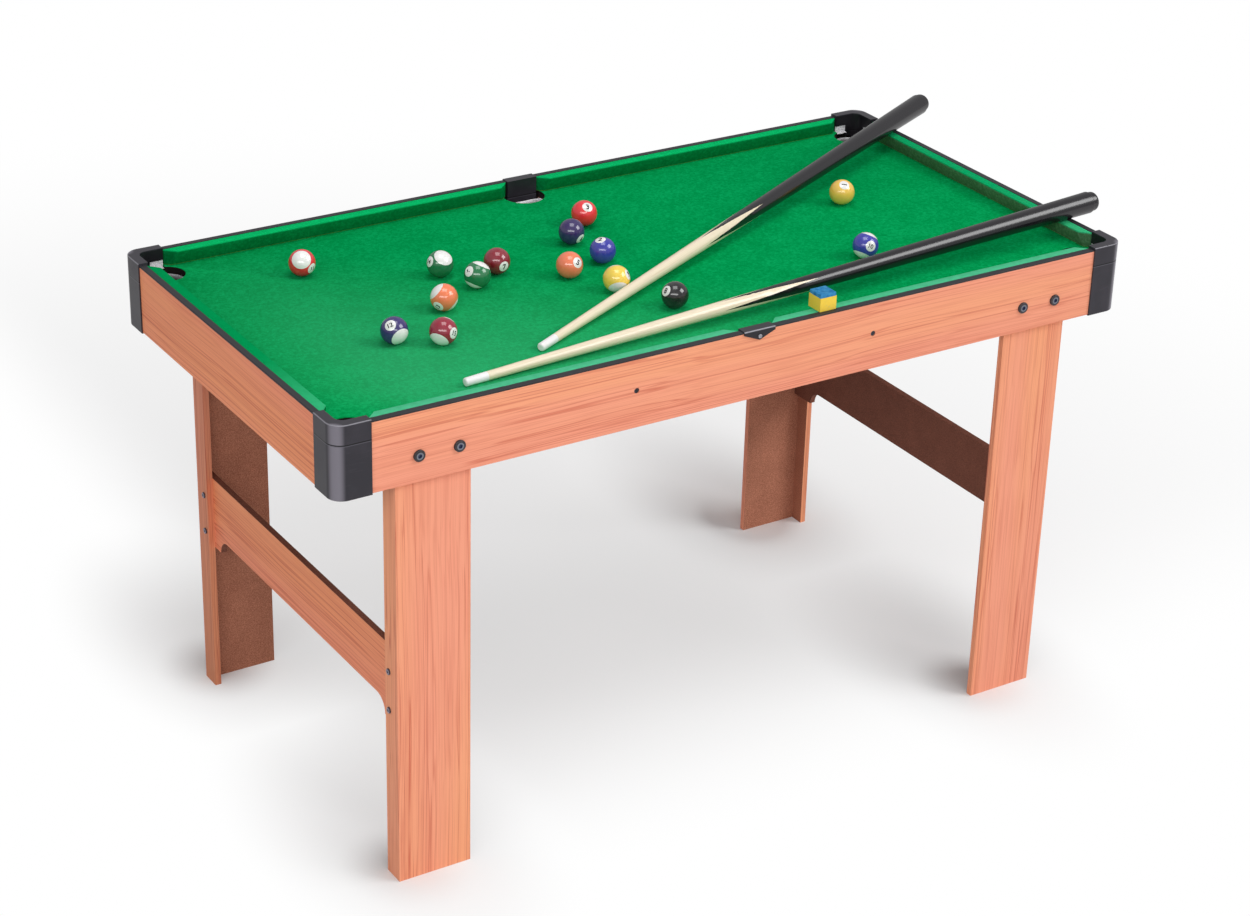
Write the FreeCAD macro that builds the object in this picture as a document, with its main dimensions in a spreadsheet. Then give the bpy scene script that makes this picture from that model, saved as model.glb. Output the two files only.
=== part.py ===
import FreeCAD, Part
import Sketcher
import math
import os
import sys

# Small billiard table on four folded board legs, with six pockets, fifteen balls, two cues and chalk.
# Millimetres, +Z up. The origin is the floor point under the middle of the table,
# +X runs along the length and +Y from the front side to the back side.

SIZES = {
    # Table body
    "table_length": 1200,          # outer faces of the end panels
    "table_width": 610,            # outer faces of the long panels
    "panel_top": 666,              # height of the panels' top edge above the floor
    "panel_height": 93,
    "board_thickness": 9,
    "panel_end_inset": 20,         # the panels stop this far short of the corner
    "groove_depth": 3,             # groove in the panels that takes the bed's edge
    # Bed and cloth
    "bed_thickness": 9,
    "cloth_thickness": 1,
    "cloth_drop": 20,              # cloth below the panels' top edge
    "crossbar_width": 20,
    "crossbar_depth": 25,
    "crossbar_place": 181.7,       # middle of a crossbar from the table's middle
    # Rail trim and cushions
    "trim_height": 2,
    "trim_round": 0.8,
    "cushion_width": 14,           # from the panel's inner face to the nose
    "cushion_rise": 1.5,           # top of the cushion above the panels
    "nose_height": 4,
    "nose_undercut": 6,
    "cushion_end_cut": 15,         # how far the nose is shorter than the back at a pocket
    "cushion_end_gap": 1,
    # Corner castings and guards
    "cap_arm": 49,                 # length along each panel face
    "cap_proud": 2,
    "cap_rise": 5,                 # rim above the panels
    "cap_seam_rise": 8.5,          # seam between casting and guard, above the bed's underside
    "cap_outer_round": 20,
    "cap_inner_round": 12,
    "cap_edge_round": 1.2,
    "rim_width": 12,               # from the panel's outer face to the pocket
    "window_start": 30,            # from the corner to where the pocket's wall is cut high
    "window_drop": 12,             # top of that window, below the panels' top edge
    "guard_floor": 1.5,
    "guard_floor_width": 11,
    # Side pockets
    "side_flange_width": 47,
    "side_flange_rise": 3,
    "side_wall_depth": 13,         # from the panel's outer face to the pocket
    "side_tab_edge_drop": 2,
    "side_tab_shoulder": 6,
    "side_tab_shoulder_drop": 4.2,
    "side_tab_tip_drop": 11.6,
    "side_screw_drop": 6.4,
    # Pocket holes and nets
    "corner_hole_radius": 25.5,
    "corner_hole_inset": 40.5,     # from both outer faces to the middle of the hole
    "side_hole_radius": 30,
    "side_hole_inset": 18,
    "net_wall": 1,
    "net_lip": 2,
    "net_lip_height": 1.5,
    "net_depth": 54,
    "net_hem_wall": 1.7,           # hem that fills the window in a corner casting
    "net_hem_gap": 0.3,
    # Legs
    "leg_end_inset": 84.4,         # from the table's end face to the leg
    "leg_wide": 103.6,
    "leg_narrow": 32,
    "leg_thickness": 9,
    "leg_fold_round": 1,
    # Stretchers
    "stretcher_top": 330,
    "stretcher_depth": 86,
    "stretcher_thickness": 9,
    "stretcher_end_drop": 22,
    "stretcher_end_length": 42,
    # Leg bolts and nuts
    "bolt_drop": 58.1,             # below the panels' top edge
    "bolt_first": 28,              # from the leg's outer edge to the first bolt
    "bolt_spacing": 55,
    "bolt_radius": 3,
    "bolt_clearance": 0.2,
    "bolt_head_radius": 7.8,
    "bolt_head_height": 3,
    "bolt_head_round": 1.4,
    "bolt_end_length": 2,
    "hex_recess_radius": 2.9,
    "hex_recess_depth": 2,
    "nut_radius": 5.8,
    "nut_thickness": 5,
    "thread_clearance": 0.05,
    # Stretcher screws
    "screw_radius": 2,
    "screw_clearance": 0.1,
    "stretcher_screw_drop": 28.4,  # upper screw below the stretcher's top
    "stretcher_screw_rise": 23.8,  # lower screw above the stretcher's lowest point
    "stretcher_screw_inset": 22,   # from the leg's outer face
    "stretcher_head_radius": 4.3,
    "stretcher_head_height": 2.2,
    "stretcher_head_round": 1,
    "screw_end_gap": 1,
    "slot_width": 0.9,
    "slot_depth": 0.8,
    # Crossbar screws
    "crossbar_screw_length": 30,
    "crossbar_head_radius": 3.4,
    "crossbar_head_height": 2,
    "counterbore_radius": 3.8,
    "counterbore_depth": 3,
    # Side pocket screws
    "side_screw_radius": 1.4,
    "side_head_radius": 2.8,
    "side_head_height": 1.4,
    "side_head_round": 0.6,
    "side_screw_cover": 1,         # wood left behind the screw's hole
    # Balls
    "ball_diameter": 36,
    "rest_gap": 0.3,               # what lies loose on the table stands this clear of it
    "ball_9_station": 218,         # along the first cue, from its tip
    "ball_9_gap": 2.3,             # from the cue's side
    # Cues
    "cue_length": 1018,            # from the tip to the bumper
    "cue_tip_radius": 5.6,
    "cue_butt_radius": 15.4,
    "cue_ferrule_length": 32,
    "cue_tip_round": 2.5,
    "cue_butt_round": 1,
    "bumper_radius": 13.6,
    "bumper_length": 12.5,
    "bumper_round": 6,
    "splice_start": 421,           # from the tip to where the black points begin
    "splice_end": 525,
    # Chalk
    "chalk_side": 24.8,
    "chalk_height": 23.4,
    "chalk_label_height": 18.5,
    "chalk_label_wall": 0.3,
    "chalk_setback": 6.8,
    "chalk_dish_radius": 14,
    "chalk_dish_depth": 1,
}

# Each cue's tip as shares of the table's length and width, and the share of the width
# at which the cue crosses the inner edge of the right rail
CUE_SHARES = {
    "cue_1": (-0.2106, -0.3105, 0.3407),
    "cue_2": (-0.3219, -0.3839, -0.3210),
}
SPLICE_TURN = 44
SPLICE_SHOULDER_SHARE = 0.8
CHALK_PLACE_SHARE = 0.0925

# Ball number and place on the cloth, as shares of the table's length and width.
# Ball 9 isn't among them, because it lies beside the first cue.
BALL_SHARES = {
    1: (0.3178, 0.0723),
    2: (-0.0268, 0.0335),
    3: (0.0134, 0.2430),
    4: (-0.0287, 0.1610),
    5: (-0.0813, -0.0026),
    6: (-0.1845, 0.0447),
    7: (-0.1463, 0.0919),
    8: (-0.0244, -0.2524),
    10: (0.2430, -0.2207),
    11: (-0.3373, 0.2848),
    12: (-0.3342, -0.1303),
    13: (-0.2466, -0.0289),
    14: (-0.2054, 0.1369),
    15: (-0.2903, -0.1822),
}

# Cutting tools run this share of the board past the material
OVERRUN_SHARE = 0.5


class Measure:
    """A length in millimetres together with the sheet expression that gives it."""

    def __init__(self, value, text):
        self.value = float(value)
        self.text = text

    def __add__(self, other):
        other = measure(other)
        return Measure(self.value + other.value, f"({self.text} + {other.text})")

    def __sub__(self, other):
        other = measure(other)
        return Measure(self.value - other.value, f"({self.text} - {other.text})")

    def __mul__(self, factor):
        factor = measure(factor)
        return Measure(self.value * factor.value, f"({self.text} * {factor.text})")

    def __truediv__(self, divisor):
        divisor = measure(divisor)
        return Measure(self.value / divisor.value, f"({self.text} / {divisor.text})")

    def __neg__(self):
        return Measure(-self.value, f"(-{self.text})")


def measure(value):
    """Any plain number as a Measure."""
    return value if isinstance(value, Measure) else Measure(value, repr(value))


def distance(run, rise):
    """The length of the slanted side over run and rise."""
    text = f"sqrt({run.text} * {run.text} + {rise.text} * {rise.text})"
    return Measure(math.hypot(run.value, rise.value), text)


def angle_of(rise, run):
    """The slope of rise over run, in degrees."""
    return Measure(math.degrees(math.atan2(rise.value, run.value)), f"(atan({rise.text} / {run.text}) / 1 deg)")


doc = FreeCAD.newDocument("billiard_table")


def make_sheet():
    """Write the driving dimensions in a sheet, one aliased cell each."""
    sheet = doc.addObject("Spreadsheet::Sheet", "Sizes")
    for row, (name, value) in enumerate(SIZES.items(), 1):
        sheet.set(f"A{row}", name.replace("_", " "))
        sheet.set(f"B{row}", str(value))
        sheet.setAlias(f"B{row}", name)
    doc.recompute()


def size(name):
    """One driving dimension, bound to its cell."""
    return Measure(SIZES[name], "Sizes." + name)


make_sheet()

# Planes and heights that several pieces share
BOARD = size("board_thickness")
HALF_LENGTH = size("table_length") / 2
HALF_WIDTH = size("table_width") / 2
PANEL_TOP = size("panel_top")
PANEL_BOTTOM = PANEL_TOP - size("panel_height")
CLOTH_TOP = PANEL_TOP - size("cloth_drop")
BED_TOP = CLOTH_TOP - size("cloth_thickness")
BED_BOTTOM = BED_TOP - size("bed_thickness")
TRIM_TOP = PANEL_TOP + size("trim_height")
SEAM = BED_BOTTOM + size("cap_seam_rise")
OVERRUN = BOARD * OVERRUN_SHARE
ARM = size("cap_arm")
PROUD = size("cap_proud")
LEG_OUTER = size("leg_end_inset")
LEG_BOARD = size("leg_thickness")
BOLT_HEIGHT = PANEL_TOP - size("bolt_drop")
HALF_FLANGE = size("side_flange_width") / 2

X_NORMAL = FreeCAD.Vector(1, 0, 0)
Y_NORMAL = FreeCAD.Vector(0, 1, 0)
Z_NORMAL = FreeCAD.Vector(0, 0, 1)
TURNS = {
    "x": FreeCAD.Rotation(Y_NORMAL, 90),
    "y": FreeCAD.Rotation(X_NORMAL, -90),
    "z": FreeCAD.Rotation(),
}


def x_from_left(distance):
    """X of a plane at this distance inside the left end face."""
    return distance - HALF_LENGTH


def y_from_front(distance):
    """Y of a plane at this distance inside the front face."""
    return distance - HALF_WIDTH


def add(kind, name):
    return doc.addObject(kind, name)


def bind(target, **formulas):
    """Bind properties of an object to sheet expressions."""
    for prop, value in formulas.items():
        target.setExpression(prop, measure(value).text)


def place(target, x, y, z):
    """Bind the three coordinates of an object's place."""
    for axis, value in zip("xyz", (x, y, z)):
        target.setExpression("Placement.Base." + axis, measure(value).text)


def box(name, x_span, y_span, z_span):
    """A box between two planes on each axis."""
    solid = add("Part::Box", name)
    spans = (x_span, y_span, z_span)
    for prop, (low, high) in zip(("Length", "Width", "Height"), spans):
        bind(solid, **{prop: measure(high) - low})
    place(solid, x_span[0], y_span[0], z_span[0])
    return solid


def cylinder(name, radius, length, at, along="z"):
    """A cylinder that starts at a point and runs along one axis."""
    solid = add("Part::Cylinder", name)
    bind(solid, Radius=radius, Height=length)
    solid.Placement = FreeCAD.Placement(FreeCAD.Vector(), TURNS[along])
    place(solid, *at)
    return solid


def fuse(name, pieces):
    joined = add("Part::MultiFuse", name)
    joined.Shapes = pieces
    joined.Refine = True
    return joined


def cut(name, base, tools):
    """Base less its tools."""
    tool = tools[0] if len(tools) == 1 else fuse(name + "_tools", tools)
    left = add("Part::Cut", name)
    left.Base = base
    left.Tool = tool
    left.Refine = True
    return left


def common(name, first, second):
    shared = add("Part::Common", name)
    shared.Base = first
    shared.Tool = second
    return shared


def mirror(name, source, normal):
    """The source's mirror image in a plane through the origin."""
    image = add("Part::Mirroring", name)
    image.Source = source
    image.Normal = normal
    return image


def group(name, pieces):
    """Separate solids that share one node."""
    together = add("Part::Compound", name)
    together.Links = pieces
    return together


def round_edges(name, base, radius, chosen):
    """Round the edges of base for which chosen(edge) is true."""
    doc.recompute()
    edges = [number for number, edge in enumerate(base.Shape.Edges, 1) if chosen(edge)]
    if not edges:
        sys.exit(f"{name}: no edge to round")
    rounded = add("Part::Fillet", name)
    rounded.Base = base
    rounded.Edges = [(number, radius.value, radius.value) for number in edges]
    return rounded


def at_height(edge, height, slack=1e-4):
    """True for an edge that lies in one level plane."""
    bounds = edge.BoundBox
    return abs(bounds.ZMin - height.value) < slack and abs(bounds.ZMax - height.value) < slack


def upright_at(edge, x, y, slack=1e-4):
    """True for a vertical edge at this place."""
    bounds = edge.BoundBox
    spots = ((bounds.XMin, x), (bounds.XMax, x), (bounds.YMin, y), (bounds.YMax, y))
    return all(abs(found - wanted.value) < slack for found, wanted in spots)


def round_rim(edge, centre_axis, place_value, slack=1e-4):
    """True for a full circular edge at one place along an axis."""
    bounds = edge.BoundBox
    low, high = {"x": (bounds.XMin, bounds.XMax), "y": (bounds.YMin, bounds.YMax), "z": (bounds.ZMin, bounds.ZMax)}[centre_axis]
    level = abs(low - place_value.value) < slack and abs(high - place_value.value) < slack
    return level and isinstance(edge.Curve, Part.Circle)


PLANES = {"xy": "XY_Plane", "xz": "XZ_Plane", "yz": "YZ_Plane"}
# A pad runs along its plane's normal, which points to -Y on the XZ plane
PLANE_SIGNS = {"xy": 1, "xz": -1, "yz": 1}


def prism(name, plane, outline, low, high):
    """A straight-sided outline on one plane, padded from low to high along the plane's axis."""
    body = add("PartDesign::Body", name)
    sketch = body.newObject("Sketcher::SketchObject", name + "_sketch")
    origin_plane = [item for item in body.Origin.OriginFeatures if item.Role == PLANES[plane]][0]
    sketch.AttachmentSupport = (origin_plane, [""])
    sketch.MapMode = "FlatFace"
    sign = PLANE_SIGNS[plane]
    sketch.setExpression("AttachmentOffset.Base.z", (low * sign).text)
    corners = [FreeCAD.Vector(u.value, v.value, 0) for u, v in outline]
    count = len(corners)
    for number in range(count):
        sketch.addGeometry(Part.LineSegment(corners[number], corners[(number + 1) % count]), False)
    for number in range(count):
        following = (number + 1) % count
        add_constraint(sketch, "Coincident", number, 2, following, 1)
    for number, (u, v) in enumerate(outline):
        pin_corner(sketch, "DistanceX", number, u)
        pin_corner(sketch, "DistanceY", number, v)
    pad = body.newObject("PartDesign::Pad", name + "_pad")
    pad.Profile = sketch
    pad.setExpression("Length", (high - low).text)
    pad.Reversed = sign < 0
    sketch.Visibility = False
    body.Tip = pad
    return body


def add_constraint(sketch, kind, *where):
    return sketch.addConstraint(Sketcher.Constraint(kind, *where))


def pin_corner(sketch, kind, number, value):
    """Fix one coordinate of a line's first point to a sheet expression."""
    constraint = add_constraint(sketch, kind, -1, 1, number, 1, value.value)
    sketch.setExpression(f"Constraints[{constraint}]", value.text)


nodes = {}


def node(name, solid):
    """Name a finished piece."""
    solid.Label = name
    nodes[name] = solid
    return solid


# Apron panels

def bolt_places():
    """X of the two bolts in the front left leg."""
    first = x_from_left(LEG_OUTER + size("bolt_first"))
    return [first, first + size("bolt_spacing")]


def long_panel():
    """Front panel, with its bed groove and every hole through it."""
    inset = size("panel_end_inset")
    front = y_from_front(measure(0))
    inner = y_from_front(BOARD)
    blank = box("front_blank", (x_from_left(inset), HALF_LENGTH - inset), (front, inner), (PANEL_BOTTOM, PANEL_TOP))
    groove_floor = y_from_front(BOARD - size("groove_depth"))
    tools = [box("front_groove", (-HALF_LENGTH, HALF_LENGTH), (groove_floor, inner + OVERRUN), (BED_BOTTOM, BED_TOP))]
    hole_radius = size("bolt_radius") + size("bolt_clearance")
    reach = BOARD + OVERRUN * 2
    start = front - OVERRUN
    for side, turn in (("left", 1), ("right", -1)):
        for number, x in enumerate(bolt_places(), 1):
            name = f"front_bolt_hole_{side}_{number}"
            tools.append(cylinder(name, hole_radius, reach, (x * turn, start, BOLT_HEIGHT), "y"))
        x = size("crossbar_place") * -turn
        height = crossbar_screw_height()
        screw_hole = size("screw_radius") + size("screw_clearance")
        tools.append(cylinder(f"front_screw_hole_{side}", screw_hole, reach, (x, start, height), "y"))
        recess = size("counterbore_depth") + OVERRUN
        tools.append(cylinder(f"front_recess_{side}", size("counterbore_radius"), recess, (x, start, height), "y"))
    pilot = size("side_screw_radius") + size("screw_clearance")
    pilot_length = BOARD - size("side_screw_cover") + OVERRUN
    side_height = PANEL_TOP - size("side_screw_drop")
    tools.append(cylinder("front_side_pilot", pilot, pilot_length, (measure(0), start, side_height), "y"))
    return cut("front_panel", blank, tools)


def end_panel():
    """Left end panel with its bed groove."""
    inset = size("panel_end_inset")
    outer = x_from_left(measure(0))
    inner = x_from_left(BOARD)
    blank = box("left_blank", (outer, inner), (y_from_front(inset), HALF_WIDTH - inset), (PANEL_BOTTOM, PANEL_TOP))
    groove_floor = x_from_left(BOARD - size("groove_depth"))
    groove = box("left_groove", (groove_floor, inner + OVERRUN), (-HALF_WIDTH, HALF_WIDTH), (BED_BOTTOM, BED_TOP))
    return cut("left_panel", blank, [groove])


def crossbar_screw_height():
    return BED_BOTTOM - size("crossbar_depth") / 2


front_panel = node("panel_front", long_panel())
node("panel_back", mirror("back_panel", front_panel, Y_NORMAL))
left_panel = node("panel_left", end_panel())
node("panel_right", mirror("right_panel", left_panel, X_NORMAL))


# Bed, cloth and crossbars

def pocket_cutters():
    """Everything that is cut from the bed and its cloth at the six pockets."""
    low = BED_BOTTOM - OVERRUN
    high = CLOTH_TOP + OVERRUN
    radius = size("corner_hole_radius")
    centre = size("corner_hole_inset")
    cutters = []
    for x_name, x_turn in (("left", 1), ("right", -1)):
        for y_name, y_turn in (("front", 1), ("back", -1)):
            name = f"{y_name}_{x_name}"
            at = (x_from_left(centre) * x_turn, y_from_front(centre) * y_turn, low)
            cutters.append(cylinder("corner_hole_" + name, radius, high - low, at))
            x_ends = sorted((x_from_left(ARM) * x_turn, x_from_left(-OVERRUN) * x_turn), key=lambda m: m.value)
            y_ends = sorted((y_from_front(ARM) * y_turn, y_from_front(-OVERRUN) * y_turn), key=lambda m: m.value)
            cutters.append(box("corner_notch_" + name, x_ends, y_ends, (low, high)))
    for y_name, y_turn in (("front", 1), ("back", -1)):
        at = (measure(0), y_from_front(size("side_hole_inset")) * y_turn, low)
        cutters.append(cylinder("side_hole_" + y_name, size("side_hole_radius"), high - low, at))
    return fuse("pocket_cutters", cutters)


def bed():
    """Bed board, held by its edges in the panels' grooves."""
    edge = BOARD - size("groove_depth")
    x_span = (x_from_left(edge), HALF_LENGTH - edge)
    y_span = (y_from_front(edge), HALF_WIDTH - edge)
    return box("bed_blank", x_span, y_span, (BED_BOTTOM, BED_TOP))


def cloth():
    """Cloth glued to the bed, from panel to panel."""
    x_span = (x_from_left(BOARD), HALF_LENGTH - BOARD)
    y_span = (y_from_front(BOARD), HALF_WIDTH - BOARD)
    return box("cloth_blank", x_span, y_span, (BED_TOP, CLOTH_TOP))


def crossbar():
    """Bar under the bed between the long panels, screwed from outside."""
    middle = -size("crossbar_place")
    half = size("crossbar_width") / 2
    y_span = (y_from_front(BOARD), HALF_WIDTH - BOARD)
    bar = box("crossbar_blank", (middle - half, middle + half), y_span, (BED_BOTTOM - size("crossbar_depth"), BED_BOTTOM))
    pilot = size("screw_radius") + size("screw_clearance")
    depth = size("crossbar_screw_length") + size("screw_end_gap") - BOARD + size("counterbore_depth")
    height = crossbar_screw_height()
    front = cylinder("crossbar_pilot_front", pilot, depth + OVERRUN, (middle, y_span[0] - OVERRUN, height), "y")
    back = cylinder("crossbar_pilot_back", pilot, depth + OVERRUN, (middle, y_span[1] - depth, height), "y")
    return cut("crossbar", bar, [front, back])


cutters = pocket_cutters()
node("bed_board", cut("bed", bed(), [cutters]))
node("bed_cloth", cut("cloth", cloth(), [cutters]))
left_crossbar = node("bed_crossbar_left", crossbar())
node("bed_crossbar_right", mirror("crossbar_right", left_crossbar, X_NORMAL))


# Cushions

def cushion_heights():
    return CLOTH_TOP, PANEL_TOP + size("cushion_rise")


def nose_section(face, nose, toe):
    """The triangle under the nose, in its plane's coordinates."""
    low = CLOTH_TOP - OVERRUN
    lip = PANEL_TOP + size("cushion_rise") - size("nose_height")
    past = nose + (nose - face)
    return [(toe, CLOTH_TOP), (nose, lip), (past, lip), (past, low), (toe, low)]


def long_cushion():
    """Front left cushion, between the corner casting and the side pocket."""
    low, high = cushion_heights()
    gap = size("cushion_end_gap")
    taper = size("cushion_end_cut")
    back = y_from_front(BOARD)
    nose = back + size("cushion_width")
    left = x_from_left(ARM + gap)
    right = -(HALF_FLANGE + gap)
    outline = [(left, back), (right, back), (right - taper, nose), (left + taper, nose)]
    strip = prism("long_cushion_strip", "xy", outline, low, high)
    section = nose_section(back, nose, nose - size("nose_undercut"))
    undercut = prism("long_cushion_undercut", "yz", section, left, right)
    return cut("long_cushion", strip, [undercut])


def end_cushion():
    """Left cushion, between two corner castings."""
    low, high = cushion_heights()
    taper = size("cushion_end_cut")
    back = x_from_left(BOARD)
    nose = back + size("cushion_width")
    front_end = y_from_front(ARM + size("cushion_end_gap"))
    back_end = -front_end
    outline = [(back, front_end), (nose, front_end + taper), (nose, back_end - taper), (back, back_end)]
    strip = prism("end_cushion_strip", "xy", outline, low, high)
    section = nose_section(back, nose, nose - size("nose_undercut"))
    undercut = prism("end_cushion_undercut", "xz", section, front_end, back_end)
    return cut("end_cushion", strip, [undercut])


front_left_cushion = node("cushion_front_left", long_cushion())
back_left_cushion = node("cushion_back_left", mirror("cushion_bl", front_left_cushion, Y_NORMAL))
node("cushion_front_right", mirror("cushion_fr", front_left_cushion, X_NORMAL))
node("cushion_back_right", mirror("cushion_br", back_left_cushion, X_NORMAL))
left_cushion = node("cushion_left", end_cushion())
node("cushion_right", mirror("cushion_r", left_cushion, X_NORMAL))


# Trim strips on the panels' top edges

def trim_strips():
    """Four long strips and two end strips, each with its outer top edge eased."""
    long_strip = box("long_trim", (x_from_left(ARM), -HALF_FLANGE), (y_from_front(measure(0)), y_from_front(BOARD)), (PANEL_TOP, TRIM_TOP))
    end_strip = box("end_trim", (x_from_left(measure(0)), x_from_left(BOARD)), (y_from_front(ARM), HALF_WIDTH - ARM), (PANEL_TOP, TRIM_TOP))
    front_face = -HALF_WIDTH
    left_face = -HALF_LENGTH

    def front_top(edge):
        return at_height(edge, TRIM_TOP) and abs(edge.BoundBox.YMax - front_face.value) < 1e-4

    def left_top(edge):
        return at_height(edge, TRIM_TOP) and abs(edge.BoundBox.XMax - left_face.value) < 1e-4

    front_left = round_edges("trim_front_left", long_strip, size("trim_round"), front_top)
    left = round_edges("trim_left", end_strip, size("trim_round"), left_top)
    back_left = mirror("trim_back_left", front_left, Y_NORMAL)
    return group("rail_trim_strips", [
        front_left,
        back_left,
        mirror("trim_front_right", front_left, X_NORMAL),
        mirror("trim_back_right", back_left, X_NORMAL),
        left,
        mirror("trim_right", left, X_NORMAL),
    ])


node("rail_trims", trim_strips())


# Corner castings and the guards below them

def corner_block(name, near, round_radius, low, high):
    """A block at the front left corner, with one upright edge rounded, open towards the table."""
    far = ARM
    x_near, y_near = x_from_left(near), y_from_front(near)
    x_far, y_far = x_from_left(far), y_from_front(far)
    return fuse(name, [
        box(name + "_x", (x_near + round_radius, x_far), (y_near, y_far), (low, high)),
        box(name + "_y", (x_near, x_far), (y_near + round_radius, y_far), (low, high)),
        cylinder(name + "_round", round_radius, high - low, (x_near + round_radius, y_near + round_radius, low)),
    ])


def panel_slots(name, low, high):
    """The room that the two panel ends take inside a corner piece."""
    inset = size("panel_end_inset")
    past = ARM + OVERRUN
    long_slot = box(name + "_long", (x_from_left(inset), x_from_left(past)), (y_from_front(measure(0)), y_from_front(BOARD)), (low, high))
    end_slot = box(name + "_end", (x_from_left(measure(0)), x_from_left(BOARD)), (y_from_front(inset), y_from_front(past)), (low, high))
    return [long_slot, end_slot]


def corner_casting():
    """Rounded corner rim with the pocket's inner wall, slotted over the panel ends."""
    top = PANEL_TOP + size("cap_rise")
    outer = corner_block("casting_outer", -PROUD, size("cap_outer_round"), SEAM, top)
    inner_low = box("casting_skirt", (x_from_left(BOARD), x_from_left(ARM)), (y_from_front(BOARD), y_from_front(ARM)), (BED_BOTTOM, SEAM))
    whole = fuse("casting_whole", [outer, inner_low])
    rim = size("rim_width")
    inner_round = size("cap_inner_round")
    low = BED_BOTTOM - OVERRUN
    x_rim, y_rim = x_from_left(rim), y_from_front(rim)
    past = ARM + OVERRUN
    pocket = fuse("casting_pocket", [
        box("casting_pocket_x", (x_rim + inner_round, x_from_left(past)), (y_rim, y_from_front(past)), (low, top + OVERRUN)),
        box("casting_pocket_y", (x_rim, x_from_left(past)), (y_rim + inner_round, y_from_front(past)), (low, top + OVERRUN)),
        cylinder("casting_pocket_round", inner_round, top + OVERRUN - low, (x_rim + inner_round, y_rim + inner_round, low)),
    ])
    start = size("window_start")
    window_top = PANEL_TOP - size("window_drop")
    windows = [
        box("casting_window_long", (x_from_left(start), x_from_left(past)), (y_from_front(BOARD), y_rim), (low, window_top)),
        box("casting_window_end", (x_from_left(BOARD), x_rim), (y_from_front(start), y_from_front(past)), (low, window_top)),
    ]
    slots = panel_slots("casting_slot", SEAM - OVERRUN, PANEL_TOP)
    body = cut("casting_body", whole, [pocket] + windows + slots)
    x_edge, y_edge = x_from_left(-PROUD), y_from_front(-PROUD)

    def outer_top(edge):
        bounds = edge.BoundBox
        straight = abs(bounds.XMax - x_edge.value) < 1e-4 or abs(bounds.YMax - y_edge.value) < 1e-4
        curved = isinstance(edge.Curve, Part.Circle) and abs(edge.Curve.Radius - size("cap_outer_round").value) < 1e-4
        return at_height(edge, top) and (straight or curved)

    return round_edges("casting", body, size("cap_edge_round"), outer_top)


def corner_guard():
    """Lower corner guard: a thin skirt with a post between the panel ends and a floor under them."""
    bottom = PANEL_BOTTOM - size("guard_floor")
    block = corner_block("guard_outer", -PROUD, size("cap_outer_round"), bottom, SEAM)
    inset = size("panel_end_inset")
    ledge = size("guard_floor_width")
    past = ARM + OVERRUN
    face = measure(0)
    high = SEAM + OVERRUN
    centre = size("corner_hole_inset")
    net_room = size("corner_hole_radius") + size("net_wall") + size("net_lip") + size("net_hem_gap")
    tools = [
        box("guard_room_long", (x_from_left(inset), x_from_left(past)), (y_from_front(face), y_from_front(past)), (PANEL_BOTTOM, high)),
        box("guard_room_end", (x_from_left(face), x_from_left(past)), (y_from_front(inset), y_from_front(past)), (PANEL_BOTTOM, high)),
        box("guard_room_wall", (x_from_left(BOARD), x_from_left(past)), (y_from_front(BOARD), y_from_front(past)), (BED_BOTTOM, high)),
        cylinder("guard_room_net", net_room, high - PANEL_BOTTOM, (x_from_left(centre), y_from_front(centre), PANEL_BOTTOM)),
        box("guard_floor_hole", (x_from_left(ledge), x_from_left(past)), (y_from_front(ledge), y_from_front(past)), (bottom - OVERRUN, PANEL_BOTTOM)),
    ]
    body = cut("guard_body", block, tools)
    x_edge, y_edge = x_from_left(-PROUD), y_from_front(-PROUD)

    def outer_bottom(edge):
        bounds = edge.BoundBox
        straight = abs(bounds.XMax - x_edge.value) < 1e-4 or abs(bounds.YMax - y_edge.value) < 1e-4
        curved = isinstance(edge.Curve, Part.Circle)
        return at_height(edge, bottom) and (straight or curved)

    return round_edges("guard", body, size("cap_edge_round"), outer_bottom)


def four_corners(label, first):
    """The front left piece and its three mirror images, as four nodes."""
    node(label + "_front_left", first)
    node(label + "_front_right", mirror(label + "_fr", first, X_NORMAL))
    back = node(label + "_back_left", mirror(label + "_bl", first, Y_NORMAL))
    node(label + "_back_right", mirror(label + "_br", back, X_NORMAL))


four_corners("corner_casting", corner_casting())
four_corners("corner_guard", corner_guard())


# Side pockets

def side_pocket():
    """Flange over the front rail, the wall behind the hole and a pointed tab with one screw."""
    top = PANEL_TOP + size("side_flange_rise")
    front = y_from_front(-PROUD)
    wall = y_from_front(size("side_wall_depth"))
    x_span = (-HALF_FLANGE, HALF_FLANGE)
    flange = box("side_flange", x_span, (front, wall), (PANEL_TOP, top))
    inner = box("side_wall", x_span, (y_from_front(BOARD), wall), (BED_BOTTOM, PANEL_TOP))
    shoulder = HALF_FLANGE - size("side_tab_shoulder")
    shoulder_low = PANEL_TOP - size("side_tab_shoulder_drop")
    edge_low = PANEL_TOP - size("side_tab_edge_drop")
    tip_low = PANEL_TOP - size("side_tab_tip_drop")
    outline = [
        (-HALF_FLANGE, PANEL_TOP),
        (-HALF_FLANGE, edge_low),
        (-shoulder, shoulder_low),
        (measure(0), tip_low),
        (shoulder, shoulder_low),
        (HALF_FLANGE, edge_low),
        (HALF_FLANGE, PANEL_TOP),
    ]
    tab = prism("side_tab", "xz", outline, front, y_from_front(measure(0)))
    hole_radius = size("side_screw_radius") + size("screw_clearance")
    height = PANEL_TOP - size("side_screw_drop")
    hole = cylinder("side_tab_hole", hole_radius, PROUD + OVERRUN * 2, (measure(0), front - OVERRUN, height), "y")
    body = cut("side_body", fuse("side_whole", [flange, inner, tab]), [hole])

    def front_top(edge):
        return at_height(edge, top) and abs(edge.BoundBox.YMax - front.value) < 1e-4

    return round_edges("side_pocket", body, size("cap_edge_round"), front_top)


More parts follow.
